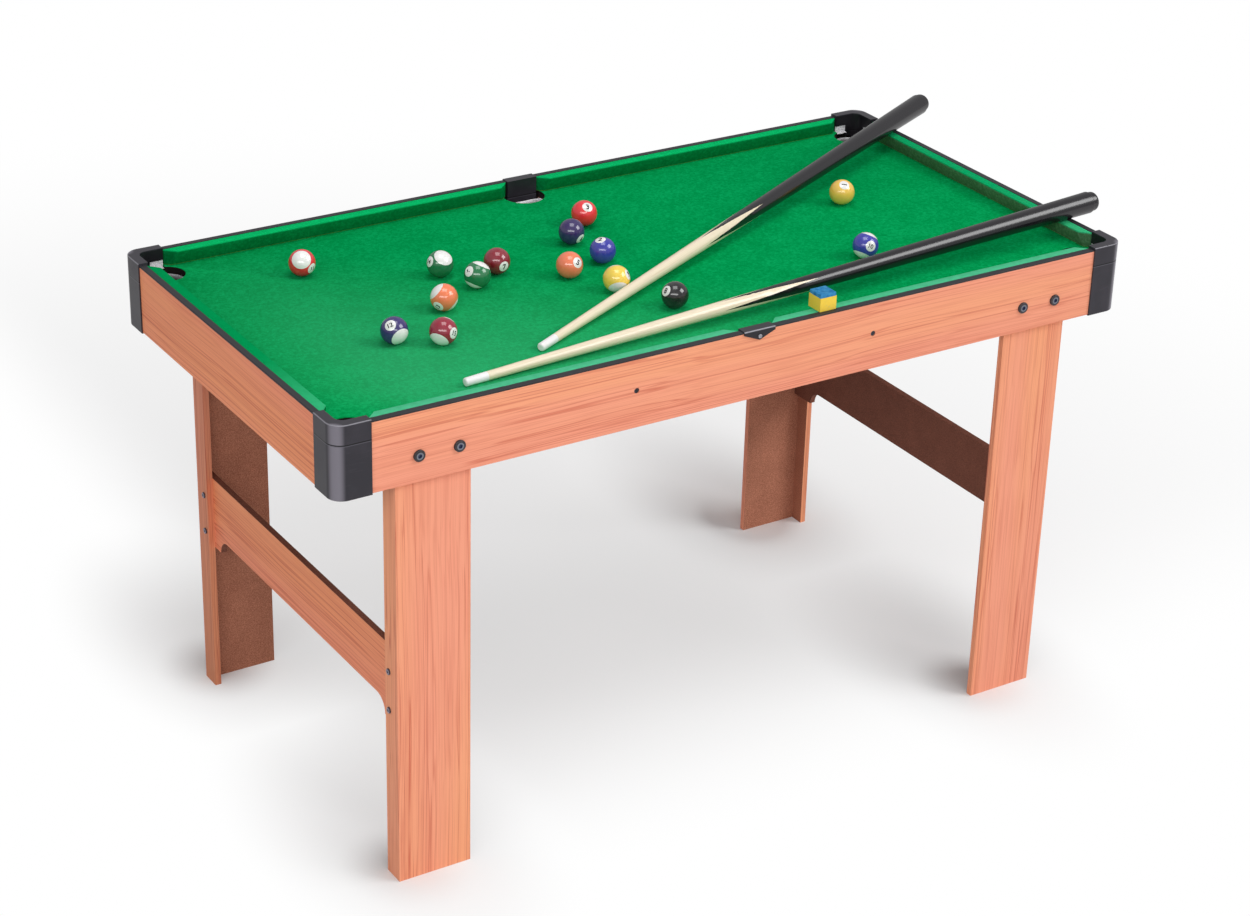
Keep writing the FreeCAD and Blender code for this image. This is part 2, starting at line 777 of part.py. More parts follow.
front_side_pocket = node("side_pocket_front", side_pocket())
node("side_pocket_back", mirror("side_pocket_b", front_side_pocket, Y_NORMAL))


# Pocket nets

def net_cup(name, radius, x, y, back=None):
    """A thin cup with a lip under the bed; with back given, it is cut flat there."""
    wall = size("net_wall")
    lip = wall + size("net_lip")
    top = BED_BOTTOM
    low = top - size("net_depth")
    lip_low = top - size("net_lip_height")
    outer = fuse(name + "_outer", [
        cylinder(name + "_bag", radius + wall, top - low, (x, y, low)),
        cylinder(name + "_lip", radius + lip, top - lip_low, (x, y, lip_low)),
    ])
    hollow = cylinder(name + "_hollow", radius, top - low, (x, y, low + wall))
    if back is None:
        return cut(name, outer, [hollow])
    reach = radius + lip
    spread = (x - reach, x + reach)
    room = box(name + "_room", spread, (back - wall, y + reach), (low, top))
    hollow_room = box(name + "_hollow_room", spread, (back, y + reach), (low, top + OVERRUN))
    flat_outer = common(name + "_flat_outer", outer, room)
    flat_hollow = common(name + "_flat_hollow", hollow, hollow_room)
    return cut(name, flat_outer, [flat_hollow])


def hem(name, span, turned):
    """Upright hem of a corner net in the casting's window, and the strip that joins it to the lip."""
    gap = size("net_hem_gap")
    lip_low = BED_BOTTOM - size("net_lip_height")
    outer = BOARD + gap
    inner = outer + size("net_hem_wall")
    window_top = PANEL_TOP - size("window_drop") - gap
    strip_end = size("corner_hole_inset") - size("corner_hole_radius")
    if turned:
        y_span = (y_from_front(span[0]), y_from_front(span[1]))
        upright = box(name + "_upright", (x_from_left(outer), x_from_left(inner)), y_span, (lip_low, window_top))
        strip = box(name + "_strip", (x_from_left(outer), x_from_left(strip_end)), y_span, (lip_low, BED_BOTTOM))
    else:
        x_span = (x_from_left(span[0]), x_from_left(span[1]))
        upright = box(name + "_upright", x_span, (y_from_front(outer), y_from_front(inner)), (lip_low, window_top))
        strip = box(name + "_strip", x_span, (y_from_front(outer), y_from_front(strip_end)), (lip_low, BED_BOTTOM))
    return [upright, strip]


def corner_net():
    """Front left net, with a hem on both arms of its casting."""
    radius = size("corner_hole_radius")
    centre = size("corner_hole_inset")
    cup = net_cup("net_cup", radius, x_from_left(centre), y_from_front(centre))
    span = (size("window_start") + size("net_hem_gap"), ARM)
    hems = fuse("net_hems", hem("net_hem_long", span, False) + hem("net_hem_end", span, True))
    low = BED_BOTTOM - size("net_depth") + size("net_wall")
    room = cylinder("net_hem_room", radius, PANEL_TOP - low, (x_from_left(centre), y_from_front(centre), low))
    return fuse("net_front_left", [cup, cut("net_hems_cut", hems, [room])])


def pocket_nets():
    """Six bags, one under each hole in the bed."""
    front_left = corner_net()
    back_left = mirror("net_back_left", front_left, Y_NORMAL)
    side_middle = y_from_front(size("side_hole_inset"))
    side_back = y_from_front(size("side_wall_depth"))
    front_side = net_cup("net_front_side", size("side_hole_radius"), measure(0), side_middle, side_back)
    return group("net_bags", [
        front_left,
        back_left,
        mirror("net_front_right", front_left, X_NORMAL),
        mirror("net_back_right", back_left, X_NORMAL),
        front_side,
        mirror("net_back_side", front_side, Y_NORMAL),
    ])


node("pocket_nets", pocket_nets())


# Legs

def stretcher_screw_heights():
    """Heights of the two screws at each end of a stretcher."""
    top = size("stretcher_top")
    lowest = top - size("stretcher_depth") - size("stretcher_end_drop")
    return [("high", top - size("stretcher_screw_drop")), ("low", lowest + size("stretcher_screw_rise"))]


def leg():
    """Front left leg: one board folded to an L, with its bolt and screw holes."""
    outer = x_from_left(LEG_OUTER)
    inner = outer + size("leg_wide")
    front = y_from_front(BOARD)
    narrow_end = front + size("leg_narrow")
    outline = [
        (outer, front),
        (inner, front),
        (inner, front + LEG_BOARD),
        (outer + LEG_BOARD, front + LEG_BOARD),
        (outer + LEG_BOARD, narrow_end),
        (outer, narrow_end),
    ]
    blank = prism("leg_blank", "xy", outline, measure(0), BED_BOTTOM)
    folded = round_edges("leg_folded", blank, size("leg_fold_round"), lambda edge: upright_at(edge, outer, front))
    tools = []
    bolt_hole = size("bolt_radius") + size("bolt_clearance")
    for number, x in enumerate(bolt_places(), 1):
        at = (x, front - OVERRUN, BOLT_HEIGHT)
        tools.append(cylinder(f"leg_bolt_hole_{number}", bolt_hole, LEG_BOARD + OVERRUN * 2, at, "y"))
    screw_hole = size("screw_radius") + size("screw_clearance")
    for name, height in stretcher_screw_heights():
        at = (outer - OVERRUN, front + size("stretcher_screw_inset"), height)
        tools.append(cylinder("leg_hole_" + name, screw_hole, LEG_BOARD + OVERRUN * 2, at, "x"))
    return cut("leg", folded, tools)


four_corners("leg", leg())


# Stretchers

def stretcher_end(name, turn):
    """Lowered end of the stretcher with its quarter round."""
    outer = x_from_left(LEG_OUTER) + LEG_BOARD
    x_span = (outer, outer + size("stretcher_thickness"))
    end = y_from_front(BOARD + LEG_BOARD)
    top = size("stretcher_top") - size("stretcher_depth")
    drop = size("stretcher_end_drop")
    foot = end + size("stretcher_end_length")
    flare_end = foot + drop
    spans = [(end, foot), (foot, flare_end)]
    if turn < 0:
        spans = [(-high, -low) for low, high in spans]
    block = box(name + "_foot", x_span, spans[0], (top - drop, top))
    flare = box(name + "_flare", x_span, spans[1], (top - drop, top))
    at = (outer - OVERRUN, flare_end * turn, top - drop)
    scoop = cylinder(name + "_scoop", drop, size("stretcher_thickness") + OVERRUN * 2, at, "x")
    return [block, cut(name + "_curve", flare, [scoop])]


def stretcher():
    """Left stretcher between the two left legs, inside their narrow faces."""
    outer = x_from_left(LEG_OUTER) + LEG_BOARD
    thickness = size("stretcher_thickness")
    end = y_from_front(BOARD + LEG_BOARD)
    top = size("stretcher_top")
    rail = box("stretcher_rail", (outer, outer + thickness), (end, -end), (top - size("stretcher_depth"), top))
    whole = fuse("stretcher_whole", [rail] + stretcher_end("stretcher_front", 1) + stretcher_end("stretcher_back", -1))
    tools = []
    pilot = size("screw_radius") + size("screw_clearance")
    y = y_from_front(BOARD) + size("stretcher_screw_inset")
    for name, height in stretcher_screw_heights():
        for side, turn in (("front", 1), ("back", -1)):
            at = (outer - OVERRUN, y * turn, height)
            tools.append(cylinder(f"pilot_{name}_{side}", pilot, thickness + OVERRUN * 2, at, "x"))
    return cut("stretcher", whole, tools)


left_stretcher = node("stretcher_left", stretcher())
node("stretcher_right", mirror("stretcher_r", left_stretcher, X_NORMAL))


# Fasteners

def headed(name, along, at, head, shank, rounding):
    """A round head and a shank behind it, each given as (radius, length), with the head's outer edge eased."""
    head_start = list(at)
    axis = "xyz".index(along)
    head_start[axis] = at[axis] - head[1]
    cap = cylinder(name + "_head", head[0], head[1], head_start, along)
    rod = cylinder(name + "_shank", shank[0], shank[1], at, along)
    whole = fuse(name + "_blank", [cap, rod])
    if rounding is None:
        return whole
    outer_face = head_start[axis]
    return round_edges(name + "_eased", whole, rounding, lambda edge: round_rim(edge, along, outer_face))


def cross_slots(name, along, at, radius):
    """Two crossed slots in a screw's head."""
    half_width = size("slot_width") / 2
    half_length = radius * 0.62
    depth = size("slot_depth")
    x, y, z = at
    if along == "x":
        span = (x - OVERRUN, x + depth)
        first = box(name + "_slot_1", span, (y - half_width, y + half_width), (z - half_length, z + half_length))
        second = box(name + "_slot_2", span, (y - half_length, y + half_length), (z - half_width, z + half_width))
    else:
        span = (y - OVERRUN, y + depth)
        first = box(name + "_slot_1", (x - half_width, x + half_width), span, (z - half_length, z + half_length))
        second = box(name + "_slot_2", (x - half_length, x + half_length), span, (z - half_width, z + half_width))
    return [first, second]


def leg_bolt(number, x):
    """Domed bolt through the front panel and the leg, with a hexagon recess."""
    face = y_from_front(measure(0))
    height = BOLT_HEIGHT
    head_height = size("bolt_head_height")
    length = BOARD + LEG_BOARD + size("nut_thickness") + size("bolt_end_length")
    head = (size("bolt_head_radius"), head_height)
    eased = headed(f"bolt_{number}", "y", (x, face, height), head, (size("bolt_radius"), length), size("bolt_head_round"))
    recess = add("Part::Prism", f"bolt_{number}_recess")
    recess.Polygon = 6
    bind(recess, Circumradius=size("hex_recess_radius"), Height=size("hex_recess_depth") + OVERRUN)
    recess.Placement = FreeCAD.Placement(FreeCAD.Vector(), TURNS["y"])
    place(recess, x, face - head_height - OVERRUN, height)
    return cut(f"bolt_{number}", eased, [recess])


def leg_nut(number, x):
    """Hexagon nut on the inner face of the leg."""
    face = y_from_front(BOARD + LEG_BOARD)
    blank = add("Part::Prism", f"nut_{number}_blank")
    blank.Polygon = 6
    bind(blank, Circumradius=size("nut_radius"), Height=size("nut_thickness"))
    blank.Placement = FreeCAD.Placement(FreeCAD.Vector(), TURNS["y"])
    place(blank, x, face, BOLT_HEIGHT)
    bore = size("bolt_radius") + size("thread_clearance")
    at = (x, face - OVERRUN, BOLT_HEIGHT)
    hole = cylinder(f"nut_{number}_bore", bore, size("nut_thickness") + OVERRUN * 2, at, "y")
    return cut(f"nut_{number}", blank, [hole])


def stretcher_screw(name, height):
    """Cross-head screw through the leg's narrow face into the stretcher."""
    face = x_from_left(LEG_OUTER)
    y = y_from_front(BOARD) + size("stretcher_screw_inset")
    length = LEG_BOARD + size("stretcher_thickness") - size("screw_end_gap")
    head = (size("stretcher_head_radius"), size("stretcher_head_height"))
    eased = headed(name, "x", (face, y, height), head, (size("screw_radius"), length), size("stretcher_head_round"))
    slots = cross_slots(name, "x", (face - head[1], y, height), head[0])
    return cut(name, eased, slots)


def crossbar_screw():
    """Small screw sunk in the front panel's face, into the crossbar's end."""
    seat = y_from_front(size("counterbore_depth"))
    x = -size("crossbar_place")
    height = crossbar_screw_height()
    head = (size("crossbar_head_radius"), size("crossbar_head_height"))
    whole = headed("crossbar_screw_front", "y", (x, seat, height), head, (size("screw_radius"), size("crossbar_screw_length")), None)
    slots = cross_slots("crossbar_screw_front", "y", (x, seat - head[1], height), head[0])
    return cut("crossbar_screw_front_cut", whole, slots)


def side_screw():
    """Small domed screw through the side pocket's tab into the panel."""
    face = y_from_front(-PROUD)
    height = PANEL_TOP - size("side_screw_drop")
    head = (size("side_head_radius"), size("side_head_height"))
    bite = BOARD - size("side_screw_cover") - size("screw_end_gap")
    shank = (size("side_screw_radius"), bite + PROUD)
    eased = headed("side_screw_front", "y", (measure(0), face, height), head, shank, size("side_head_round"))
    slots = cross_slots("side_screw_front", "y", (measure(0), face - head[1], height), head[0])
    return cut("side_screw_front_cut", eased, slots)


def all_corners(pieces):
    """Pieces of the front left corner, with their images at the other three."""
    images = []
    for number, piece in enumerate(pieces, 1):
        stem = f"{piece.Name}_{number}"
        back = mirror(stem + "_bl", piece, Y_NORMAL)
        images += [piece, mirror(stem + "_fr", piece, X_NORMAL), back, mirror(stem + "_br", back, X_NORMAL)]
    return images


node("leg_bolts", group("bolts", all_corners([leg_bolt(number, x) for number, x in enumerate(bolt_places(), 1)])))
node("leg_nuts", group("nuts", all_corners([leg_nut(number, x) for number, x in enumerate(bolt_places(), 1)])))
stretcher_screws = [stretcher_screw("screw_" + name, height) for name, height in stretcher_screw_heights()]
node("stretcher_screws", group("stretcher_screw_group", all_corners(stretcher_screws)))
node("crossbar_screws", group("crossbar_screw_group", all_corners([crossbar_screw()])))
front_side_screw = side_screw()
node("side_pocket_screws", group("side_screw_group", [front_side_screw, mirror("side_screw_back", front_side_screw, Y_NORMAL)]))


# Cues, each modelled along its own Z from the tip and then laid on the cloth and the right rail

def cue_radius(station):
    """Radius of the taper at a distance from the tip."""
    growth = (size("cue_butt_radius") - size("cue_tip_radius")) / size("cue_length")
    return size("cue_tip_radius") + growth * station


def cue_line(name):
    """X and Y of a cue's tip, and its run along X and Y from there to the right rail."""
    x_share, y_share, rail_share = CUE_SHARES[name]
    x = size("table_length") * x_share
    y = size("table_width") * y_share
    return x, y, HALF_LENGTH - BOARD - x, size("table_width") * rail_share - y


def taper(name, start, end):
    """A stretch of the cue's taper."""
    cone = add("Part::Cone", name)
    bind(cone, Radius1=cue_radius(start), Radius2=cue_radius(end), Height=end - start)
    place(cone, measure(0), measure(0), start)
    return cone


def splice_tool(name):
    """Everything in front of the butt's points: a block that narrows to a wedge along the cue."""
    start = size("splice_start")
    wide = cue_radius(size("cue_length")) + OVERRUN
    shoulder = cue_radius(start) * SPLICE_SHOULDER_SHARE
    outline = [
        (-wide, measure(0)),
        (wide, measure(0)),
        (wide, start),
        (shoulder, start),
        (measure(0), size("splice_end")),
        (-shoulder, start),
        (-wide, start),
    ]
    wedge = prism(name, "yz", outline, -wide, wide)
    wedge.Placement = FreeCAD.Placement(FreeCAD.Vector(), FreeCAD.Rotation(Z_NORMAL, SPLICE_TURN))
    return wedge


def lay_cue(solid, name):
    """Place a cue solid so that the tip rests on the cloth and the butt on the right rail."""
    x, y, x_run, y_run = cue_line(name)
    z = CLOTH_TOP + size("rest_gap") + size("cue_tip_radius")
    yaw = angle_of(y_run, x_run)
    slope = angle_of(TRIM_TOP - CLOTH_TOP, distance(x_run, y_run))
    spread = angle_of(size("cue_butt_radius") - size("cue_tip_radius"), size("cue_length"))
    turn = f"rotation({yaw.text}; 90 - {slope.text} - {spread.text}; 0)"
    solid.setExpression("Placement", f"placement(vector({x.text}; {y.text}; {z.text}); {turn})")


def cue(name):
    """Tip, maple shaft and black butt of one cue."""
    length = size("cue_length")
    ferrule_end = size("cue_ferrule_length")
    cap = taper(name + "_cap", measure(0), ferrule_end)
    tip = round_edges(name + "_tip_solid", cap, size("cue_tip_round"), lambda edge: round_rim(edge, "z", measure(0)))
    rod = taper(name + "_rod", ferrule_end, length)
    whole = round_edges(name + "_rod_eased", rod, size("cue_butt_round"), lambda edge: round_rim(edge, "z", length))
    tool = splice_tool(name + "_splice")
    shaft = common(name + "_shaft_solid", whole, tool)
    end = length + size("bumper_length")
    bumper = cylinder(name + "_bumper", size("bumper_radius"), size("bumper_length"), (measure(0), measure(0), length))
    cap_end = round_edges(name + "_bumper_eased", bumper, size("bumper_round"), lambda edge: round_rim(edge, "z", end))
    butt = fuse(name + "_butt_solid", [cut(name + "_handle", whole, [tool]), cap_end])
    for label, solid in (("tip", tip), ("shaft", shaft), ("butt", butt)):
        lay_cue(solid, name)
        node(f"{name}_{label}", solid)


cue("cue_1")
cue("cue_2")


# Balls

def place_beside_cue(name, station, gap):
    """X and Y of a ball that lies on the left of a cue, looking from its tip."""
    x, y, x_run, y_run = cue_line(name)
    run = distance(x_run, y_run)
    aside = size("ball_diameter") / 2 + cue_radius(station) + gap
    return x + (x_run * station - y_run * aside) / run, y + (y_run * station + x_run * aside) / run


def ball(number, x, y):
    """One ball, just clear of the cloth."""
    radius = size("ball_diameter") / 2
    solid = add("Part::Sphere", f"ball_{number:02d}_solid")
    bind(solid, Radius=radius)
    place(solid, x, y, CLOTH_TOP + size("rest_gap") + radius)
    return node(f"ball_{number:02d}", solid)


for ball_number, (ball_x_share, ball_y_share) in BALL_SHARES.items():
    ball(ball_number, size("table_length") * ball_x_share, size("table_width") * ball_y_share)
ball(9, *place_beside_cue("cue_1", size("ball_9_station"), size("ball_9_gap")))


# Chalk on the front rail

def chalk():
    """Chalk cube with a worn dish in its top, and the paper label round its lower part."""
    side = size("chalk_side")
    wall = size("chalk_label_wall")
    half = side / 2
    x = size("table_length") * CHALK_PLACE_SHARE
    y = y_from_front(size("chalk_setback")) + half
    low = TRIM_TOP + size("rest_gap")
    high = low + size("chalk_height")
    x_span, y_span = (x - half, x + half), (y - half, y + half)
    cube = box("chalk_cube", x_span, y_span, (low, high))
    dish = add("Part::Sphere", "chalk_dish")
    bind(dish, Radius=size("chalk_dish_radius"))
    place(dish, x, y, high + size("chalk_dish_radius") - size("chalk_dish_depth"))
    label_high = low + size("chalk_label_height")
    x_wide, y_wide = (x_span[0] - wall, x_span[1] + wall), (y_span[0] - wall, y_span[1] + wall)
    sleeve = box("label_outer", x_wide, y_wide, (low, label_high))
    room = box("label_room", x_span, y_span, (low - OVERRUN, label_high + OVERRUN))
    node("chalk_block", cut("chalk", cube, [dish]))
    node("chalk_label", cut("label", sleeve, [room]))


chalk()


# Check every object, then write each node's solids

doc.recompute()
failed = [item.Name for item in doc.Objects if {"Invalid", "Error"} & set(item.State)]
broken = [name for name, item in nodes.items() if item.Shape.isNull() or not item.Shape.isValid() or not item.Shape.Solids]
if failed or broken:
    sys.exit(f"failed objects: {failed}; broken shapes: {broken}")

os.makedirs("parts", exist_ok=True)
for name, item in nodes.items():
    item.Shape.exportStep(os.path.join("parts", name + ".step"))
print(len(nodes), "nodes,", sum(len(item.Shape.Solids) for item in nodes.values()), "solids")
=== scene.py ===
# %% [markdown]
# # A small billiard table
#
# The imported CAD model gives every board, screw, ball and cue at its true place and size.
# This notebook gives those pieces the looks of the real table: laminated boards, woven green cloth,
# moulded plastic corners, hanging pocket bags, glazed balls, varnished cues and a cube of chalk.
# The frame is loaded first. Its bodies are what moves, and its nodes are the pieces themselves.

# %% Load the frame
import math

import bpy
from mathutils import Matrix, Vector


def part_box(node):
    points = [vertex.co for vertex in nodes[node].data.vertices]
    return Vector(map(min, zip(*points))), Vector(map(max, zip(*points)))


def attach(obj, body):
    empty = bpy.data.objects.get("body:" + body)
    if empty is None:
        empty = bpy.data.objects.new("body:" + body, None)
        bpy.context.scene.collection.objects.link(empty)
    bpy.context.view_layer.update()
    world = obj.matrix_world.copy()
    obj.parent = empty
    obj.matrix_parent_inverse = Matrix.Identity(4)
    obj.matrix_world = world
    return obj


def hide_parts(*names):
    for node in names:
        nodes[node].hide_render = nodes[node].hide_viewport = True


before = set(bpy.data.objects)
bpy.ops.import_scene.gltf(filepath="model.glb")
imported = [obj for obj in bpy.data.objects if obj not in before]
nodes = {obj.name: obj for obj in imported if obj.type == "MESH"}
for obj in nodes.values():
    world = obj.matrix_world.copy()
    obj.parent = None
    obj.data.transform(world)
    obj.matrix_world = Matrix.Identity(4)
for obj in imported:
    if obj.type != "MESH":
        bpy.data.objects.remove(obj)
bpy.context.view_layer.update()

# %% [markdown]
# ## The camera
#
# The photograph was taken from the front left, a little above the table. The camera's place came from
# fitting the corners of the panels and the feet of the legs. Its matrix is built from the direction in
# which the camera looks, and then rolled by the small tilt that the picture has. A written matrix was
# chosen over a track-to constraint because the roll would be lost there.

# %% Camera
picture_width = 1250
focal_pixels = 2846.33
camera_place = Vector((-1.9192, -2.9869, 2.1201))
roll = math.radians(1.629)


def outwards(azimuth, elevation):
    """The direction away from the table at two angles in degrees, both 0 straight in front."""
    turn = math.radians(azimuth)
    lift = math.radians(elevation)
    return Vector((math.sin(turn) * math.cos(lift), -math.cos(turn) * math.cos(lift), math.sin(lift)))


away = outwards(-32.717, 26.454)
level_right = (-away).cross(Vector((0, 0, 1))).normalized()
level_up = level_right.cross(-away)
right = level_right * math.cos(roll) + level_up * math.sin(roll)
up = level_up * math.cos(roll) - level_right * math.sin(roll)

camera_data = bpy.data.cameras.new("camera")
camera_data.sensor_width = 36
camera_data.sensor_fit = "HORIZONTAL"
camera_data.lens = focal_pixels * camera_data.sensor_width / picture_width
camera = bpy.data.objects.new("camera", camera_data)
bpy.context.scene.collection.objects.link(camera)
camera.matrix_world = Matrix((
    (right.x, up.x, away.x, camera_place.x),
    (right.y, up.y, away.y, camera_place.y),
    (right.z, up.z, away.z, camera_place.z),
    (0, 0, 0, 1),
))
bpy.context.scene.camera = camera
bpy.context.scene.view_settings.view_transform = "Standard"
print("lens:", round(camera_data.lens, 2), "mm")

# %% [markdown]
# ## Helpers for materials
#
# Every finish below is a tree of shader nodes. Adding a node, setting its options and joining its
# sockets is always the same work, so short helpers do it: for any node, for sums, for mixing two
# colours and for noises. A value that is itself a socket is joined with a link, and the new node goes
# into the tree that the socket belongs to. Colours are written as they look on a screen, from 0 to
# 255. The pieces modelled here share four helpers for meshes.

# %% Node helpers
def add_node(kind, inputs, **options):
    """A shader node in the tree of the values linked to it, with its options and sockets filled."""
    tree = next(value for value in inputs.values() if isinstance(value, bpy.types.NodeSocket)).id_data
    made = tree.nodes.new(kind)
    for name, value in options.items():
        setattr(made, name, value)
    for name, value in inputs.items():
        if isinstance(value, bpy.types.NodeSocket):
            tree.links.new(value, made.inputs[name])
        else:
            made.inputs[name].default_value = value
    return made


def sum_of(operation, first, second=0.0, third=0.0, clamp=False):
    """The result of one Math node."""
    values = {0: first, 1: second, 2: third}
    return add_node("ShaderNodeMath", values, operation=operation, use_clamp=clamp).outputs[0]


def times(first, *others):
    """The product of two or more numbers."""
    for other in others:
        first = sum_of("MULTIPLY", first, other)
    return first


def most(first, *others):
    """The highest of two or more numbers."""
    for other in others:
        first = sum_of("MAXIMUM", first, other)
    return first


def below(value, level):
    """1 below a level and 0 from there on."""
    return sum_of("LESS_THAN", value, level)


def gap_to(value, middle):
    """How far a number lies from a middle one, to either side."""
    return sum_of("ABSOLUTE", sum_of("SUBTRACT", value, middle))


def vector_sum(operation, *values):
    """The result of one Vector Math node: a number for a measure and a vector for the others."""
    made = add_node("ShaderNodeVectorMath", dict(enumerate(values)), operation=operation)
    return made.outputs["Value" if operation in ("LENGTH", "DISTANCE", "DOT_PRODUCT") else 0]


def scaled_by(vector, factor):
    """A vector times a number."""
    return add_node("ShaderNodeVectorMath", {0: vector, "Scale": factor}, operation="SCALE").outputs[0]


def axes_of(vector):
    """The three numbers of a vector."""
    return add_node("ShaderNodeSeparateXYZ", {0: vector}).outputs


def mixed(share, first, second):
    """Two colours mixed by a share from 0, all the first, to 1."""
    return add_node("ShaderNodeMix", {0: share, 6: first, 7: second}, data_type="RGBA").outputs[2]


def coated(colour, *coats):
    """A colour under coats of paint, each with its mask and its colour as it looks on a screen."""
    for mask, paint in coats:
        colour = mixed(mask, colour, rgb(*paint))
    return colour


def rgb(*screen):
    """A colour as it looks on a screen, turned into linear light."""
    shares = [value / 255 for value in screen]
    return (*(s / 12.92 if s <= 0.04045 else ((s + 0.055) / 1.055) ** 2.4 for s in shares), 1.0)


def ramp(value, low, high, start=0.0, end=1.0):
    """A value stretched from one range to another, with soft ends."""
    ranges = {"Value": value, "From Min": low, "From Max": high, "To Min": start, "To Max": end}
    return add_node("ShaderNodeMapRange", ranges, interpolation_type="SMOOTHSTEP").outputs["Result"]


def noise(vector, scale, detail=2.0, roughness=0.5):
    """A noise from 0 to 1. The scale may be three numbers, to stretch it along an axis."""
    if not isinstance(scale, (int, float)):
        vector = vector_sum("MULTIPLY", vector, scale)
        scale = 1.0
    settings = {"Vector": vector, "Scale": scale, "Detail": detail, "Roughness": roughness}
    return add_node("ShaderNodeTexNoise", settings).outputs["Fac"]


def near_corner(place, middle):
    """The level distance to the nearest of the points that mirror one point in both middle planes."""
    level = vector_sum("MULTIPLY", vector_sum("ABSOLUTE", place), (1, 1, 0))
    return vector_sum("DISTANCE", level, (*middle, 0))


# %% Helpers for groups, materials and finished pieces
def new_group(name, inputs, outputs):
    """An empty node group, the sockets that it is given and the sockets that it fills."""
    group = bpy.data.node_groups.new(name, "ShaderNodeTree")
    for label, value in inputs.items():
        kind = "Float" if isinstance(value, float) else "Color" if len(value) == 4 else "Vector"
        socket = group.interface.new_socket(name=label, in_out="INPUT", socket_type="NodeSocket" + kind)
        socket.default_value = value
    for label, kind in outputs.items():
        group.interface.new_socket(name=label, in_out="OUTPUT", socket_type="NodeSocket" + kind)
    return group, group.nodes.new("NodeGroupInput").outputs, group.nodes.new("NodeGroupOutput").inputs


def fill(group, inputs):
    """What a group puts out for the values that it is given."""
    return add_node("ShaderNodeGroup", inputs, node_tree=group).outputs


def new_material(name, roughness=0.5, gloss=0.5):
    """A material with its shader and the place of each point on the piece."""
    material = bpy.data.materials.new(name)
    material.use_nodes = True
    tree = material.node_tree
    shader = tree.nodes["Principled BSDF"]
    shader.inputs["Roughness"].default_value = roughness
    shader.inputs["Specular IOR Level"].default_value = gloss
    return material, shader, tree.nodes.new("ShaderNodeTexCoord").outputs["Object"]


def reopened(material):
    """The shader, the place of each point and the colour of a finished material."""
    parts = material.node_tree.nodes
    shader = parts["Principled BSDF"]
    colour = shader.inputs["Base Color"].links[0].from_socket
    return shader, parts["Texture Coordinate"].outputs["Object"], colour


def feed(shader, name, value):
    """Link a value to one of the shader's sockets."""
    shader.id_data.links.new(value, shader.inputs[name])


def bumped(shader, height, distance, strength=1.0):
    """The shader's surface raised by a height, over a distance in metres."""
    bump = add_node("ShaderNodeBump", {"Height": height, "Distance": distance, "Strength": strength})
    feed(shader, "Normal", bump.outputs["Normal"])


def dress(piece, material):
    """Give a piece one material in each of its slots."""
    if not piece.material_slots:
        piece.data.materials.append(material)
    for slot in piece.material_slots:
        slot.material = material


print("node helpers ready")

# %% Helpers for meshes
fine_cut = 0.0008


def edit_all():
    """Edit the active mesh, with all of it selected."""
    bpy.ops.object.mode_set(mode="EDIT")
    bpy.ops.mesh.select_all(action="SELECT")


def edit_done():
    """Leave the mesh that is being edited."""
    bpy.ops.object.mode_set(mode="OBJECT")


def cut_finely(middle, steps):
    """Cut the active mesh into small squares round a middle."""
    for step in range(-steps, steps + 1):
        for normal in ((1, 0, 0), (0, 1, 0)):
            bpy.ops.mesh.select_all(action="SELECT")
            bpy.ops.mesh.bisect(plane_co=middle + Vector(normal) * step * fine_cut, plane_no=normal)


def apply_modifier(piece, name, kind, **values):
    """Add a modifier to the active piece and apply it."""
    modifier = piece.modifiers.new(name, kind)
    for label, value in values.items():
        setattr(modifier, label, value)
    bpy.ops.object.modifier_apply(modifier=modifier.name)


print("mesh helpers ready")

# %% [markdown]
# ## The studio
#
# The photograph shows a plain white studio. The lamps' places can be read from the picture: the bright
# band along the lower cue asks for a lamp in front and to the right, and the same lamp leaves the
# upper cue dark and throws each leg's shadow to the left and back. The balls show a level band
# across their middle and a square spot above it, so a wide, low lamp stands on the left, near the
# camera, and another hangs straight overhead. Rays from the camera see the world as pure white, so
# the backdrop needs no light of its own, and polished pieces see it weaker.

# %% World and lamps
ambient_light = 0.3
glossy_share = 0.3
lamps_aim = Vector((0, 0, 0.6))


def seen_share(tree):
    """1 for rays that come straight from the camera, and less for those from polished pieces."""
    ray = tree.nodes.new("ShaderNodeLightPath").outputs
    glossy = times(ray["Is Glossy Ray"], glossy_share)
    return most(ray["Is Camera Ray"], ray["Is Transmission Ray"], glossy)


world = bpy.data.worlds.new("studio")
bpy.context.scene.world = world
world.use_nodes = True
sky = world.node_tree
sky.nodes.clear()
strength = sum_of("MULTIPLY_ADD", seen_share(sky), 1 - ambient_light, ambient_light)
backdrop = add_node("ShaderNodeBackground", {"Color": (1, 1, 1, 1), "Strength": strength})
add_node("ShaderNodeOutputWorld", {"Surface": backdrop.outputs[0]})


def soft_lamp(name, azimuth, elevation, distance, width, height, power):
    """A rectangular lamp that faces the middle of the table's top."""
    data = bpy.data.lights.new(name, "AREA")
    data.shape = "RECTANGLE"
    data.size = width
    data.size_y = height
    data.energy = power
    lamp = bpy.data.objects.new(name, data)
    direction = outwards(azimuth, elevation)
    lamp.location = lamps_aim + direction * distance
    lamp.rotation_euler = direction.to_track_quat("Z", "Y").to_euler()
    bpy.context.scene.collection.objects.link(lamp)


soft_lamp("key lamp", 50, 38, 9.0, 4.6, 4.0, 340)
soft_lamp("fill lamp", -38, 28, 4.8, 5.6, 0.9, 86)
soft_lamp("overhead lamp", -30, 86, 3.2, 1.7, 1.7, 30)

